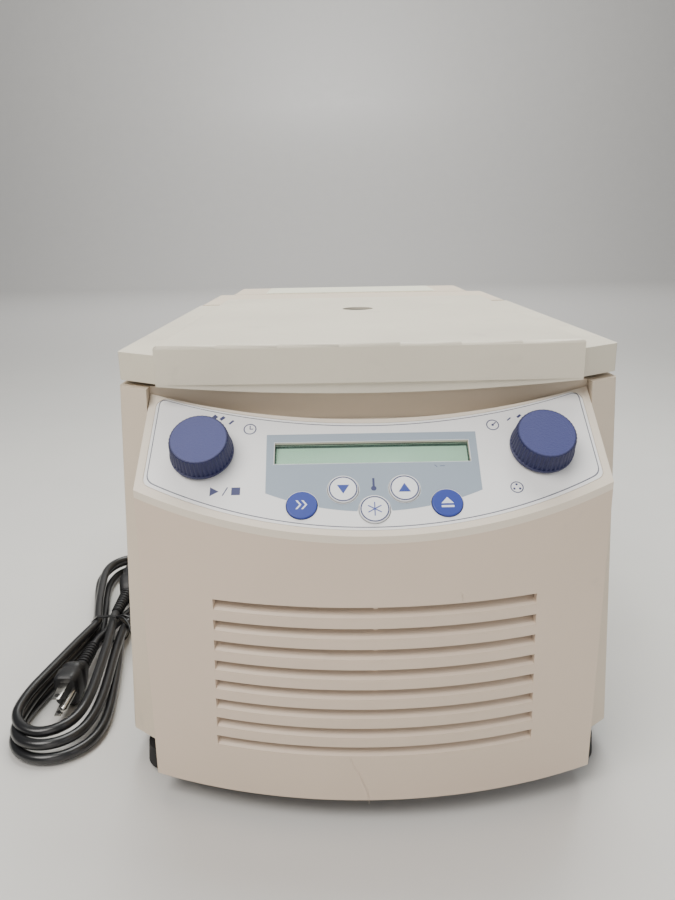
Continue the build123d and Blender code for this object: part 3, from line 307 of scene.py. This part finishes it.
# ================================================================ appliance connector
# Moulded cold-appliance connector, three slots in its face, finger dents on its sides and a ribbed relief.
CONNECTOR = (-199.5, 14.2)
connector_body = moulding([
    (22.6, CONNECTOR, 15.4, 26.0, 2.6), (21.8, CONNECTOR, 16.4, 27.0, 3.0), (9.0, CONNECTOR, 16.4, 27.0, 3.0),
    (7.4, CONNECTOR, 15.0, 25.4, 3.0), (1.0, CONNECTOR, 14.6, 25.0, 3.0), (-1.0, CONNECTOR, 15.8, 26.4, 3.2),
    (-6.0, CONNECTOR, 15.6, 24.0, 4.6), (-10.0, CONNECTOR, 13.6, 16.5, 5.0), (-13.0, CONNECTOR, 11.4, 12.0, 5.2)]
    + ribbed_relief(-13.4, -46.0, CONNECTOR, 10.6, 8.2, 9))
connector = add("connector_body", connector_body, plug_black, "machine")
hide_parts("power_connector")
# The three slots are thin dark boxes on the face: painted shade standing in for the openings.
slots = bmesh.new()
for rise, shift in ((-7, -1), (0, 2), (7, -1)):
    bmesh.ops.create_cube(slots, size=1.0, matrix=Matrix.Translation(
        Vector((CONNECTOR[0] + shift, 22.55, CONNECTOR[1] + rise)) * MM) @ Matrix.Diagonal(
        (4.6 * MM, 0.3 * MM, 2.6 * MM, 1.0)))
connector_slots = add("connector_slots", slots, hole_dark, "machine")

# ================================================================ cord tie
# Thin black twist tie, wound once round the hank, its two ends twisted together and bent to the right.
tie_black = finish("tie_plastic", card(20, 20, 22), rough=0.3, grain=1200, bump=0.1, mottle=0.2)
TIE_HULL = ((-15.6, 10.9), (-13.6, 5.0), (-9.6, 0.9), (-1.0, 0.6), (9.4, 0.9), (12.6, 4.2), (15.1, 9.6),
            (14.2, 14.2), (7.8, 20.4), (2.6, 22.2), (-8.8, 21.7), (-13.0, 18.4))
HANK_MIDDLE = 11.3
band = bmesh.new()
rings = []
for along, swell in ((-1.5, 0.0), (-1.5, 0.7), (1.5, 0.7), (1.5, 0.0)):
    ring = []
    for across, height in TIE_HULL:
        reach = Vector((across, 0, height - HANK_MIDDLE))
        reach *= 1 + swell / reach.length
        ring.append(band.verts.new(Vector((TIE_X + reach.x, TIE_Y + along, max(0.1, HANK_MIDDLE + reach.z))) * MM))
    rings.append(ring)
for near, far in zip(rings, rings[1:] + rings[:1]):
    for i in range(len(near)):
        band.faces.new((near[i], near[(i + 1) % len(near)], far[(i + 1) % len(far)], far[i]))
bmesh.ops.subdivide_edges(band, edges=[e for e in band.edges if abs(e.verts[0].co.y - e.verts[1].co.y) < 1e-6
                                       and e.calc_length() > 2 * MM], cuts=2, smooth=0.6)
tie = add("twist_tie", band, tie_black, "machine")
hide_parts("cord_tie")

TAIL_R = 0.8
tail_line = bpy.data.curves.new("tie_tails", "CURVE")
tail_line.dimensions = "3D"
for tail in (
        ((6.0, -66.0, 21.6), (10.0, -68.5, 23.4), (15.5, -72.0, 22.0), (20.0, -79.0, 18.0), (23.0, -86.0, 15.2)),
        ((6.0, -66.0, 21.6), (10.5, -66.5, 23.8), (16.0, -68.0, 23.0), (22.5, -70.0, 19.0), (27.0, -69.0, 15.0))):
    stroke = tail_line.splines.new("NURBS")
    stroke.points.add(len(tail) - 1)
    for point, (across, along, height) in zip(stroke.points, tail):
        point.co = ((TIE_X + across) * MM, along * MM, height * MM, 1.0)
    stroke.order_u = 3
    stroke.use_endpoint_u = True
tail_line.bevel_depth = TAIL_R * MM
tail_line.use_fill_caps = True
tail_line.materials.append(tie_black)
tie_tails = bpy.data.objects.new("tie_tails", tail_line)
bpy.context.collection.objects.link(tie_tails)
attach(tie_tails, "machine")

# ================================================================ floor and light
# Pale matt table top and a large soft key from the upper left, a weaker one from the right and one overhead.
BEND_Y, BEND_R = 4.0, 1.5
floor = bpy.data.objects.new("floor", bpy.data.meshes.new("floor"))
ground = bmesh.new()
bmesh.ops.create_grid(ground, x_segments=1, y_segments=1, size=1.0,
                      matrix=Matrix.Translation((0, -6, 0)) @ Matrix.Diagonal((16, 10, 1, 1)))
far_edge = [e for e in ground.edges if all(v.co.y > BEND_Y - 0.1 for v in e.verts)]
swept = bmesh.ops.spin(ground, geom=far_edge, cent=(0, BEND_Y, BEND_R), axis=(1, 0, 0), angle=math.radians(80),
                       steps=24, use_merge=False)["geom_last"]
swept_edges = [part for part in swept if isinstance(part, bmesh.types.BMEdge)]
wall = bmesh.ops.extrude_edge_only(ground, edges=swept_edges)["geom"]
bmesh.ops.translate(ground, vec=(0, 0.6, 5.0), verts=[part for part in wall if isinstance(part, bmesh.types.BMVert)])
ground.to_mesh(floor.data)
ground.free()
floor.location.z = -0.0002
floor.data.shade_smooth()
floor.data.materials.append(finish("table_top", card(214, 212, 208), rough=0.42, grain=300, bump=0.02, mottle=0.01))
bpy.context.collection.objects.link(floor)
for name, spot, target, size, power, tint in (
        ("key", (-0.7, -0.9, 1.5), (0, -0.05, 0.12), 0.9, 25, (1.0, 0.97, 0.93)),
        ("fill", (1.3, -0.9, 0.9), (0, -0.05, 0.12), 1.0, 6, (0.94, 0.96, 1.0)),
        ("front", (0.05, -1.7, 0.5), (0, -0.1, 0.12), 1.0, 4.5, (1.0, 0.95, 0.92)),
        ("overhead", (0.1, 0.45, 1.4), (0, 0, 0.1), 1.1, 30, (0.98, 1.0, 0.97)),
        ("backdrop", (0, 1.9, 2.6), (0, 5.4, 1.0), 1.5, 120, (1.0, 1.0, 1.0))):
    lamp_data = bpy.data.lights.new(name, "AREA")
    lamp_data.size = size
    lamp_data.energy = power
    lamp_data.color = tint
    lamp = bpy.data.objects.new(name, lamp_data)
    bpy.context.collection.objects.link(lamp)
    lamp.location = spot
    lamp.rotation_euler = (Vector(target) - Vector(spot)).to_track_quat("-Z", "Y").to_euler()
world = bpy.data.worlds.new("studio")
bpy.context.scene.world = world
world.use_nodes = True
world.node_tree.nodes["Background"].inputs["Color"].default_value = (0.9, 0.92, 0.95, 1)
world.node_tree.nodes["Background"].inputs["Strength"].default_value = 0.2

# ================================================================ case mouldings
# Two-part foamed plastic case in a warm light beige, fine spark-eroded texture, a little yellowed and dusty.
beige = card(216, 201, 180)
housing = finish("housing_plastic", beige, rough=0.5, grain=1500, bump=0.16, mottle=0.02,
                 dust=card(196, 186, 168), dust_from=0.68)
# The front panel takes a pinker copy of the case beige: painted warm light falling on the front.
front_plastic_painted_warm_light = finish("front_plastic_painted_warm_light", card(217, 198, 178), rough=0.47, grain=1500, bump=0.14, mottle=0.02,
                       dust=card(198, 184, 166), dust_from=0.68)
panel_plastic = finish("panel_plastic", card(229, 217, 199), rough=0.42, grain=1500, bump=0.1, mottle=0.015)
dress(housing, "main_housing", "rear_cover")
dress(front_plastic_painted_warm_light, "front_panel")
dress(panel_plastic, "control_panel")

# ================================================================ lid
# Moulded lid shell in the same plastic, its flat top and rolled front edge alike a little lighter and greyer than the
# case: painted cool light from above, over a little dust.
lid_plastic_painted_cool_light = finish("lid_plastic_painted_cool_light", card(217, 209, 190), rough=0.44, grain=1400, bump=0.14, mottle=0.025,
                     dust=card(197, 190, 172), dust_from=0.6)
dress(lid_plastic_painted_cool_light, "lid_cover")
dress(finish("lid_plate_steel", card(205, 206, 204), rough=0.3, grain=700, bump=0.08, metal=1.0, stretch=(1, 9, 1)),
      "lid_inner_plate")
dress(finish("lid_foam", card(84, 85, 88), rough=0.9, grain=1200, bump=0.6, mottle=0.1), "lid_foam")

# ================================================================ metal parts
# Stainless bowl and pins, painted steel sheet for the chassis, anodised rotor, copper tube, enamelled compressor.
stainless = finish("stainless_steel", card(196, 198, 200), rough=0.26, grain=900, bump=0.08, metal=1.0,
                   stretch=(1, 1, 8))
bright = finish("bright_steel", card(206, 206, 208), rough=0.16, grain=1200, bump=0.04, metal=1.0)
sheet_steel = finish("steel_sheet", card(188, 188, 182), rough=0.45, grain=1100, bump=0.14, mottle=0.03)
galvanised = finish("zinc_plate", card(178, 180, 182), rough=0.36, grain=260, bump=0.08, mottle=0.14, metal=0.9)
dress(stainless, "rotor_chamber")
dress(bright, "hinge_pin", "drive_shaft", "time_encoder_shaft", "speed_encoder_shaft", "lid_springs", "case_screws")
dress(sheet_steel, "back_panel")
dress(galvanised, "base_plate", "hinge_brackets", "lid_hinge_arms", "lid_latch_hook", "latch_pawl")
dress(finish("anodised_rotor", card(96, 98, 103), rough=0.34, grain=1600, bump=0.06, metal=0.85, mottle=0.04),
      "rotor")
dress(finish("turned_aluminium", card(176, 178, 182), rough=0.28, grain=900, bump=0.1, metal=1.0, stretch=(1, 1, 10)),
      "rotor_lid", "motor_housing", "condenser")
dress(finish("copper_tube", card(190, 116, 78), rough=0.3, grain=500, bump=0.06, metal=1.0, mottle=0.14),
      "evaporator_coil", "discharge_pipe")
dress(finish("black_enamel", card(28, 28, 30), rough=0.2, grain=500, bump=0.05, coat=0.6, mottle=0.08), "compressor")

# ================================================================ black mouldings and rubber
# Nylon and ABS fittings of the back and of the inside, natural rubber feet and mounts, foam insulation.
black_plastic = finish("black_plastic", card(34, 34, 36), rough=0.42, grain=1300, bump=0.14, mottle=0.08)
dress(black_plastic, "mains_inlet", "switch_frame", "power_rocker", "fuse_drawer", "fan_frame", "condenser_fan",
      "latch_housing", "rotor_lid_knob", "emergency_release", "time_push_plunger", "speed_push_plunger")
dress(finish("black_rubber", card(26, 25, 25), rough=0.78, grain=1000, bump=0.3, mottle=0.12,
             dust=card(84, 80, 74), dust_from=0.62), "rubber_feet", "rubber_mounts", "chamber_gasket")
dress(finish("grey_foam", card(92, 92, 94), rough=0.95, grain=700, bump=0.8, mottle=0.12), "chamber_insulation")
dress(finish("board_green", card(28, 82, 50), rough=0.32, grain=500, bump=0.1, mottle=0.12), "control_board",
      "power_board")

# ================================================================ lid port
# Smoked glass disc of the speed-check port in the middle of the lid, set in a thin dark collar.
smoke = finish("port_glass", card(24, 26, 27), rough=0.3, grain=300, bump=0.01, mottle=0.08, specular=0.12)
dress(smoke, "viewing_port")

# ================================================================ rating label
# Blank cream film over the rear cover, with a thin dark strip along its front edge: painted shadow of the seam under
# the lid's rear edge.
dress(finish("label_film", card(246, 243, 218), rough=0.35, grain=900, bump=0.05, mottle=0.012, coat=0.2),
      "rating_label")
seam_dark = finish("seam_shadow", card(30, 29, 27), rough=0.8, grain=900, bump=0.1)
# The seam strip is painted shadow, not a dark joint.
label_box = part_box("rating_label")
seam = bmesh.new()
bmesh.ops.create_cube(seam, size=1.0, matrix=Matrix.Translation((0, label_box[0].y + 0.5 * MM, label_box[1].z))
                      @ Matrix.Diagonal((label_box[1].x - label_box[0].x - 5 * MM, 0.8 * MM, 0.2 * MM, 1)))
add("label_seam", seam, seam_dark, "machine")

# ================================================================ scratches
# Hairline scratch low on the front panel and a nick above the grille, where the case was knocked.
LEAN = math.radians(3.96)
FRONT_BOW_R = 318.0
BOW_AXIS_Y, PANEL_FOOT_Z = 58.7, 15.1


def on_front(x, up, lift=0.02):
    """Point on the bowed front panel, x across and up from its foot, in millimetres."""
    out = math.sqrt((FRONT_BOW_R + lift) ** 2 - x**2)
    return Vector((x, BOW_AXIS_Y - out * math.cos(LEAN) - up * math.sin(LEAN),
                   PANEL_FOOT_Z - out * math.sin(LEAN) + up * math.cos(LEAN))) * MM


scratch_pale = finish("scratch_pale", card(236, 222, 206), rough=0.7, grain=900, bump=0.2)
for name, path, width in (
        ("front_scratch", ((-13.4, 51.5), (-12.6, 47.0), (-10.2, 42.6), (-9.4, 40.9), (-8.3, 40.4), (-6.6, 33.8),
                           (-4.2, 28.2), (-3.9, 24.6), (-3.4, 19.6)), 0.42),
        ("front_nick", ((41.4, 147.4), (42.6, 145.9), (42.0, 144.6), (42.4, 143.2)), 0.5)):
    strip = bmesh.new()
    edge_pairs = []
    for i, (x, up) in enumerate(path):
        half = width / 2 * (0.4 if i in (0, len(path) - 1) else 1.0)
        edge_pairs.append((strip.verts.new(on_front(x - half, up)), strip.verts.new(on_front(x + half, up))))
    for (a, b), (c, d) in zip(edge_pairs, edge_pairs[1:]):
        strip.faces.new((a, b, d, c))
    bmesh.ops.solidify(strip, geom=strip.faces[:], thickness=0.03 * MM)
    add(name, strip, scratch_pale, "machine")

# ================================================================ overlay
# Printed polyester film sunk into the control panel: near-white, with a thin dark line round its edge.
SLOPE = Matrix.Translation(Vector((0, -219.3, 216.3)) * MM) @ Matrix.Rotation(math.radians(40), 4, "X")


def printed(name, outlines, low, high, material, body):
    """Flat prints on the control panel from closed outlines in its own millimetres; an inner one is a hole."""
    flat = bpy.data.curves.new(name, "CURVE")
    flat.dimensions = "2D"
    flat.fill_mode = "BOTH"
    flat.extrude = (high - low) / 2 * MM
    for outline in outlines:
        edge = flat.splines.new("POLY")
        edge.points.add(len(outline) - 1)
        for point, (x, y) in zip(edge.points, outline):
            point.co = (x * MM, y * MM, 0, 1)
        edge.use_cyclic_u = True
    holder = bpy.data.objects.new(name, flat)
    bpy.context.collection.objects.link(holder)
    bpy.context.view_layer.update()
    mesh = bpy.data.meshes.new_from_object(holder.evaluated_get(bpy.context.evaluated_depsgraph_get()))
    bpy.data.objects.remove(holder)
    bpy.data.curves.remove(flat)
    mesh.name = name
    mesh.transform(SLOPE @ Matrix.Translation((0, 0, (high + low) / 2 * MM)))
    made = bpy.data.objects.new(name, mesh)
    bpy.context.collection.objects.link(made)
    mesh.materials.clear()
    mesh.materials.append(material)
    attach(made, body)
    return made


def arc(first, middle, last, count=40):
    """Points of the circle arc through three points."""
    (ax, ay), (bx, by), (cx, cy) = first, middle, last
    d = 2 * (ax * (by - cy) + bx * (cy - ay) + cx * (ay - by))
    ux = ((ax**2 + ay**2) * (by - cy) + (bx**2 + by**2) * (cy - ay) + (cx**2 + cy**2) * (ay - by)) / d
    uy = ((ax**2 + ay**2) * (cx - bx) + (bx**2 + by**2) * (ax - cx) + (cx**2 + cy**2) * (bx - ax)) / d
    radius = math.hypot(ax - ux, ay - uy)
    start, mid, end = (math.atan2(y - uy, x - ux) for x, y in (first, middle, last))
    span = (end - start) % (2 * math.pi)
    if (mid - start) % (2 * math.pi) > span:
        span -= 2 * math.pi
    return [(ux + radius * math.cos(start + span * i / count), uy + radius * math.sin(start + span * i / count))
            for i in range(count + 1)]


def softened(points, radius, count=6):
    """A closed outline whose corners sharper than 40 degrees are rounded."""
    made = []
    for i, here in enumerate(points):
        here = Vector(here)
        before, after = Vector(points[i - 1]) - here, Vector(points[(i + 1) % len(points)]) - here
        if before.length < 1e-6 or after.length < 1e-6:
            continue
        if math.degrees((-before).angle(after)) < 40:
            made.append(tuple(here))
            continue
        near, far = here + before.normalized() * radius, here + after.normalized() * radius
        for step in range(count + 1):
            t = step / count
            made.append(tuple(near * (1 - t) ** 2 + here * 2 * t * (1 - t) + far * t**2))
    return made


def overlay_edge(inset):
    """The film's outline, set in by a margin: rounded ends, sagging top and bottom."""
    top = arc((-111.4 + inset, 17.2 - inset), (0, -2.6 - inset), (111.4 - inset, 17.2 - inset), 60)
    bottom = arc((112.6 - inset, -36.6 + inset), (0, -64.1 + inset), (-112.6 + inset, -36.6 + inset), 60)
    head = [p for p in top if abs(p[0]) < 108 - inset]
    foot = [p for p in bottom if abs(p[0]) < 109 - inset]
    return softened([top[0]] + head + [top[-1], bottom[0]] + foot + [bottom[-1]], 4.2)


def ring(x, y, radius, count=48):
    """A circle."""
    return [(x + radius * math.cos(2 * math.pi * i / count), y + radius * math.sin(2 * math.pi * i / count))
            for i in range(count)]


def bar(x0, y0, x1, y1, width):
    """A straight stroke with square ends."""
    along = Vector((x1 - x0, y1 - y0)).normalized()
    side = Vector((-along.y, along.x)) * width / 2
    return [(x0 + side.x, y0 + side.y), (x1 + side.x, y1 + side.y), (x1 - side.x, y1 - side.y),
            (x0 - side.x, y0 - side.y)]


film = finish("overlay_film", card(240, 239, 238), rough=0.34, grain=1600, bump=0.05, mottle=0.012, coat=0.1)
ink = finish("overlay_ink", card(58, 62, 104), rough=0.45, grain=1600, bump=0.05, mottle=0.05)
line_ink = finish("overlay_line_ink", card(96, 98, 112), rough=0.45, grain=1600, bump=0.05, mottle=0.05)
field_ink = finish("overlay_field_ink", card(150, 163, 176), rough=0.4, grain=1600, bump=0.05, mottle=0.02)
dress(film, "control_overlay")
printed("overlay_outline", [overlay_edge(1.3), overlay_edge(1.75)], -0.05, -0.01, line_ink, "machine")

KEY_MARGIN = 7.95
BUTTONS = {"short": (-34.8, -50.3), "temperature_down": (-14.85, -41.9), "fast_cool": (0.0, -53.2),
           "temperature_up": (14.85, -41.9), "open": (34.8, -50.3)}
LCD = (0.0, -20.2, 97.6, 12.8)


def window(margin):
    """The display's rectangle, set out by a margin."""
    x, y, width, height = LCD
    return [(x + sx * (width / 2 + margin), y + sy * (height / 2 + margin))
            for sx, sy in ((-1, -1), (1, -1), (1, 1), (-1, 1))]


def round_buttons(points):
    """An outline lifted over the lower three keys where it meets them."""
    lifted = []
    for x, y in points:
        for bx, by in (BUTTONS["short"], BUTTONS["fast_cool"], BUTTONS["open"]):
            if abs(x - bx) < KEY_MARGIN:
                y = max(y, by + math.sqrt(KEY_MARGIN**2 - (x - bx) ** 2))
        lifted.append((x, y))
    return lifted


foot = arc((51.5, -43.6), (0, -54.2), (-51.5, -43.6), 240)
field = [(-53.0, -8.8), (53.0, -8.8), (52.5, -43.2)] + round_buttons(foot) + [(-52.5, -43.2)]
key_holes = [ring(*BUTTONS[name], KEY_MARGIN) for name in ("temperature_down", "temperature_up")]
printed("display_field", [field, window(0.25)] + key_holes, -0.05, -0.02, field_ink, "machine")

# printed signs: a clock and a dial beside the display, dashes that grow round the knobs, and plain shapes below
clock = [ring(-61.7, -5.0, 3.3), ring(-61.7, -5.0, 2.75), bar(-61.7, -5.2, -61.7, -2.9, 0.5),
         bar(-61.9, -5.0, -60.1, -5.0, 0.5)]
dial = [ring(62.4, -5.0, 3.3), ring(62.4, -5.0, 2.75), bar(62.4, -5.0, 64.2, -3.3, 0.55), ring(62.4, -5.0, 0.65, 16)]
dashes = [bar(-72.6, -1.6, -70.4, 0.6, 1.1), bar(-77.3, 1.2, -75.3, 3.1, 1.7), bar(-81.5, 1.6, -79.4, 3.9, 2.4),
          bar(70.2, -2.4, 72.2, -0.6, 0.7), bar(75.6, -0.6, 77.6, 1.1, 1.2)]
start_stop = [[(-79.4, -44.2), (-79.4, -39.2), (-75.1, -41.7)], bar(-73.2, -44.0, -70.9, -39.4, 0.55),
              bar(-69.0, -41.7, -64.7, -41.7, 4.3)]
spin = [ring(69.3, -42.2, 3.2), ring(69.3, -42.2, 2.7), ring(69.3, -40.6, 0.6, 16), ring(70.7, -43.0, 0.6, 16),
        ring(67.9, -43.0, 0.6, 16)]
thermometer = [bar(0, -40.4, 0, -35.6, 1.1), ring(0, -41.4, 1.35, 24)]
multiply = [bar(30.6, -28.6, 31.8, -29.8, 0.28), bar(33.2, -29.2, 35.6, -29.2, 0.28)]
for name, shapes in (("clock_sign", clock[:2]), ("clock_hands", clock[2:3]), ("clock_hand_short", clock[3:]),
                     ("dial_sign", dial[:2]), ("dial_hand", dial[2:3]), ("dial_centre", dial[3:]),
                     ("knob_dashes", dashes), ("start_stop_sign", start_stop), ("spin_sign", spin),
                     ("temperature_sign", thermometer[:1]), ("temperature_bulb", thermometer[1:]),
                     ("scale_sign", multiply)):
    printed(name, shapes, -0.03, 0.0, ink, "machine")

# ================================================================ display
# Reflective liquid-crystal display behind a clear window: pale green, with a painted shadow of the recess along its
# top edge and a thin painted-shade frame just inside the window's edge.
lcd_green = finish("lcd_green", card(226, 252, 234), rough=0.4, grain=900, bump=0.02, mottle=0.05)
lcd_painted_shade = finish("lcd_painted_shade", card(66, 96, 88), rough=0.4, grain=900, bump=0.05, mottle=0.06)
clear = finish("clear_window", card(226, 240, 232), rough=0.05, grain=200, bump=0.0, mottle=0.01)
clear.node_tree.nodes["Principled BSDF"].inputs["Transmission Weight"].default_value = 0.97
clear.node_tree.nodes["Principled BSDF"].inputs["IOR"].default_value = 1.2
dress(clear, "lcd_window")
dress(lcd_green, "lcd_module")
LCD_SHADE_TOP = -3.6
# The dark strip is the recess's shadow, painted; the dark frame is painted shade at the window's edge.
printed("display_painted_shadow", [[(-48.8, -13.8), (48.8, -13.8), (48.8, -15.2), (-48.8, -15.2)]], LCD_SHADE_TOP - 0.08, LCD_SHADE_TOP,
        lcd_painted_shade, "machine")
printed("display_edge_shade", [window(0.0), window(-0.7)], LCD_SHADE_TOP, LCD_SHADE_TOP + 0.04, lcd_painted_shade, "machine")

# ================================================================ knobs
# Push-and-turn knobs: moulded navy body with fine grip ribs, a lighter pebbled blue cap let into its top.
knob_side = finish("knob_blue", card(26, 30, 76), rough=0.48, grain=1300, bump=0.15, mottle=0.05)
knob_cap = finish("knob_cap_blue", card(54, 58, 112), rough=0.5, grain=1300, bump=0.7, mottle=0.08)
RIBS = 44
KNOB_X, KNOB_Y = 84.8, -19.6
# from the foot up: radius, height, depth of the grooves between the ribs
KNOB_ROWS = ((15.6, 1.2, 0.0), (16.0, 1.5, 0.0), (15.95, 2.9, 0.0), (15.7, 3.1, 0.55), (14.7, 12.2, 0.55),
             (14.35, 12.9, 0.1))


def bearing(vert):
    """Angle of a vertex round the knob's axis."""
    return math.atan2(vert.co.y, vert.co.x)


for side, x in (("time", -KNOB_X), ("speed", KNOB_X)):
    knob = bmesh.new()
    bmesh.ops.create_circle(knob, segments=RIBS * 4, radius=1.0)
    edges = knob.edges[:]
    rows = [sorted(knob.verts, key=bearing)]
    for _ in KNOB_ROWS[1:]:
        grown = bmesh.ops.extrude_edge_only(knob, edges=edges)["geom"]
        edges = [g for g in grown if isinstance(g, bmesh.types.BMEdge) and not any(v in rows[-1] for v in g.verts)]
        rows.append(sorted((g for g in grown if isinstance(g, bmesh.types.BMVert)), key=bearing))
    for row, (radius, height, dent) in zip(rows, KNOB_ROWS):
        for i, vert in enumerate(row):
            turn = 2 * math.pi * i / len(row)
            reach = radius - (dent if i % 4 in (0, 1) else 0.0)
            vert.co = Vector((reach * math.cos(turn), reach * math.sin(turn), height)) * MM
    top = bmesh.ops.contextual_create(knob, geom=edges)["faces"]
    bmesh.ops.inset_region(knob, faces=top, thickness=0.35 * MM, depth=0.45 * MM)
    cap_faces = [f for f in knob.faces if f.is_valid and f in top]
    bmesh.ops.inset_region(knob, faces=cap_faces, thickness=0.5 * MM, depth=0.0)
    for face in cap_faces:
        face.material_index = 1
    knob.transform(SLOPE @ Matrix.Translation(Vector((x, KNOB_Y, 0)) * MM))
    made = add(f"{side}_knob_ribbed", knob, [knob_side, knob_cap], f"{side}_dial", sharp=28)
    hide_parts(f"{side}_knob")

# ================================================================ push buttons
# Domed polycarbonate keys: solid blue for the short run and for the lid, white with a thin navy rim for cooling.
button_blue = finish("button_blue", card(46, 64, 150), rough=0.4, grain=900, bump=0.06, mottle=0.04, coat=0.15)
button_white = finish("button_white", card(238, 239, 240), rough=0.38, grain=900, bump=0.05, mottle=0.012, coat=0.15)
button_ink = finish("button_ink", card(52, 70, 150), rough=0.45, grain=900, bump=0.05, mottle=0.05)
rim_ink = finish("button_rim_ink", card(54, 58, 104), rough=0.45, grain=900, bump=0.05, mottle=0.05)
white_ink = finish("button_white_ink", card(226, 230, 240), rough=0.45, grain=900, bump=0.05, mottle=0.02)
dress(button_blue, "short_button", "open_button")
dress(button_white, "temperature_down_button", "fast_cool_button", "temperature_up_button")
TOP, INK = 0.9, 0.05
for name in ("temperature_down", "fast_cool", "temperature_up"):
    x, y = BUTTONS[name]
    printed(f"{name}_rim", [ring(x, y, 6.95), ring(x, y, 6.3)], TOP, TOP + 0.04, rim_ink, f"{name}_key")
x, y = BUTTONS["temperature_down"]
printed("down_arrow", [[(x - 3.0, y + 2.2), (x + 3.0, y + 2.2), (x, y - 2.7)]], TOP, TOP + INK, button_ink,
        "temperature_down_key")
x, y = BUTTONS["temperature_up"]
printed("up_arrow", [[(x - 3.0, y - 2.2), (x + 3.0, y - 2.2), (x, y + 2.7)]], TOP, TOP + INK, button_ink,
        "temperature_up_key")
x, y = BUTTONS["fast_cool"]
for spoke in range(3):
    turn = math.radians(60 * spoke + 30)
    reach = Vector((math.cos(turn), math.sin(turn))) * 3.7
    printed(f"frost_spoke_{spoke}", [bar(x - reach.x, y - reach.y, x + reach.x, y + reach.y, 0.55)], TOP,
            TOP + 0.04 + 0.004 * spoke, button_ink, "fast_cool_key")
x, y = BUTTONS["short"]
chevrons = [[(x + s - 1.9, y + 2.4), (x + s - 0.9, y + 2.4), (x + s + 1.0, y), (x + s - 0.9, y - 2.4),
             (x + s - 1.9, y - 2.4), (x + s, y)] for s in (-1.1, 1.7)]
printed("short_run_chevrons", chevrons, TOP, TOP + INK, white_ink, "short_key")
x, y = BUTTONS["open"]
eject = [[(x - 3.0, y - 0.6), (x + 3.0, y - 0.6), (x, y + 2.8)], bar(x - 3.0, y - 2.2, x + 3.0, y - 2.2, 1.1)]
printed("lid_open_sign", eject, TOP, TOP + INK, white_ink, "open_key")
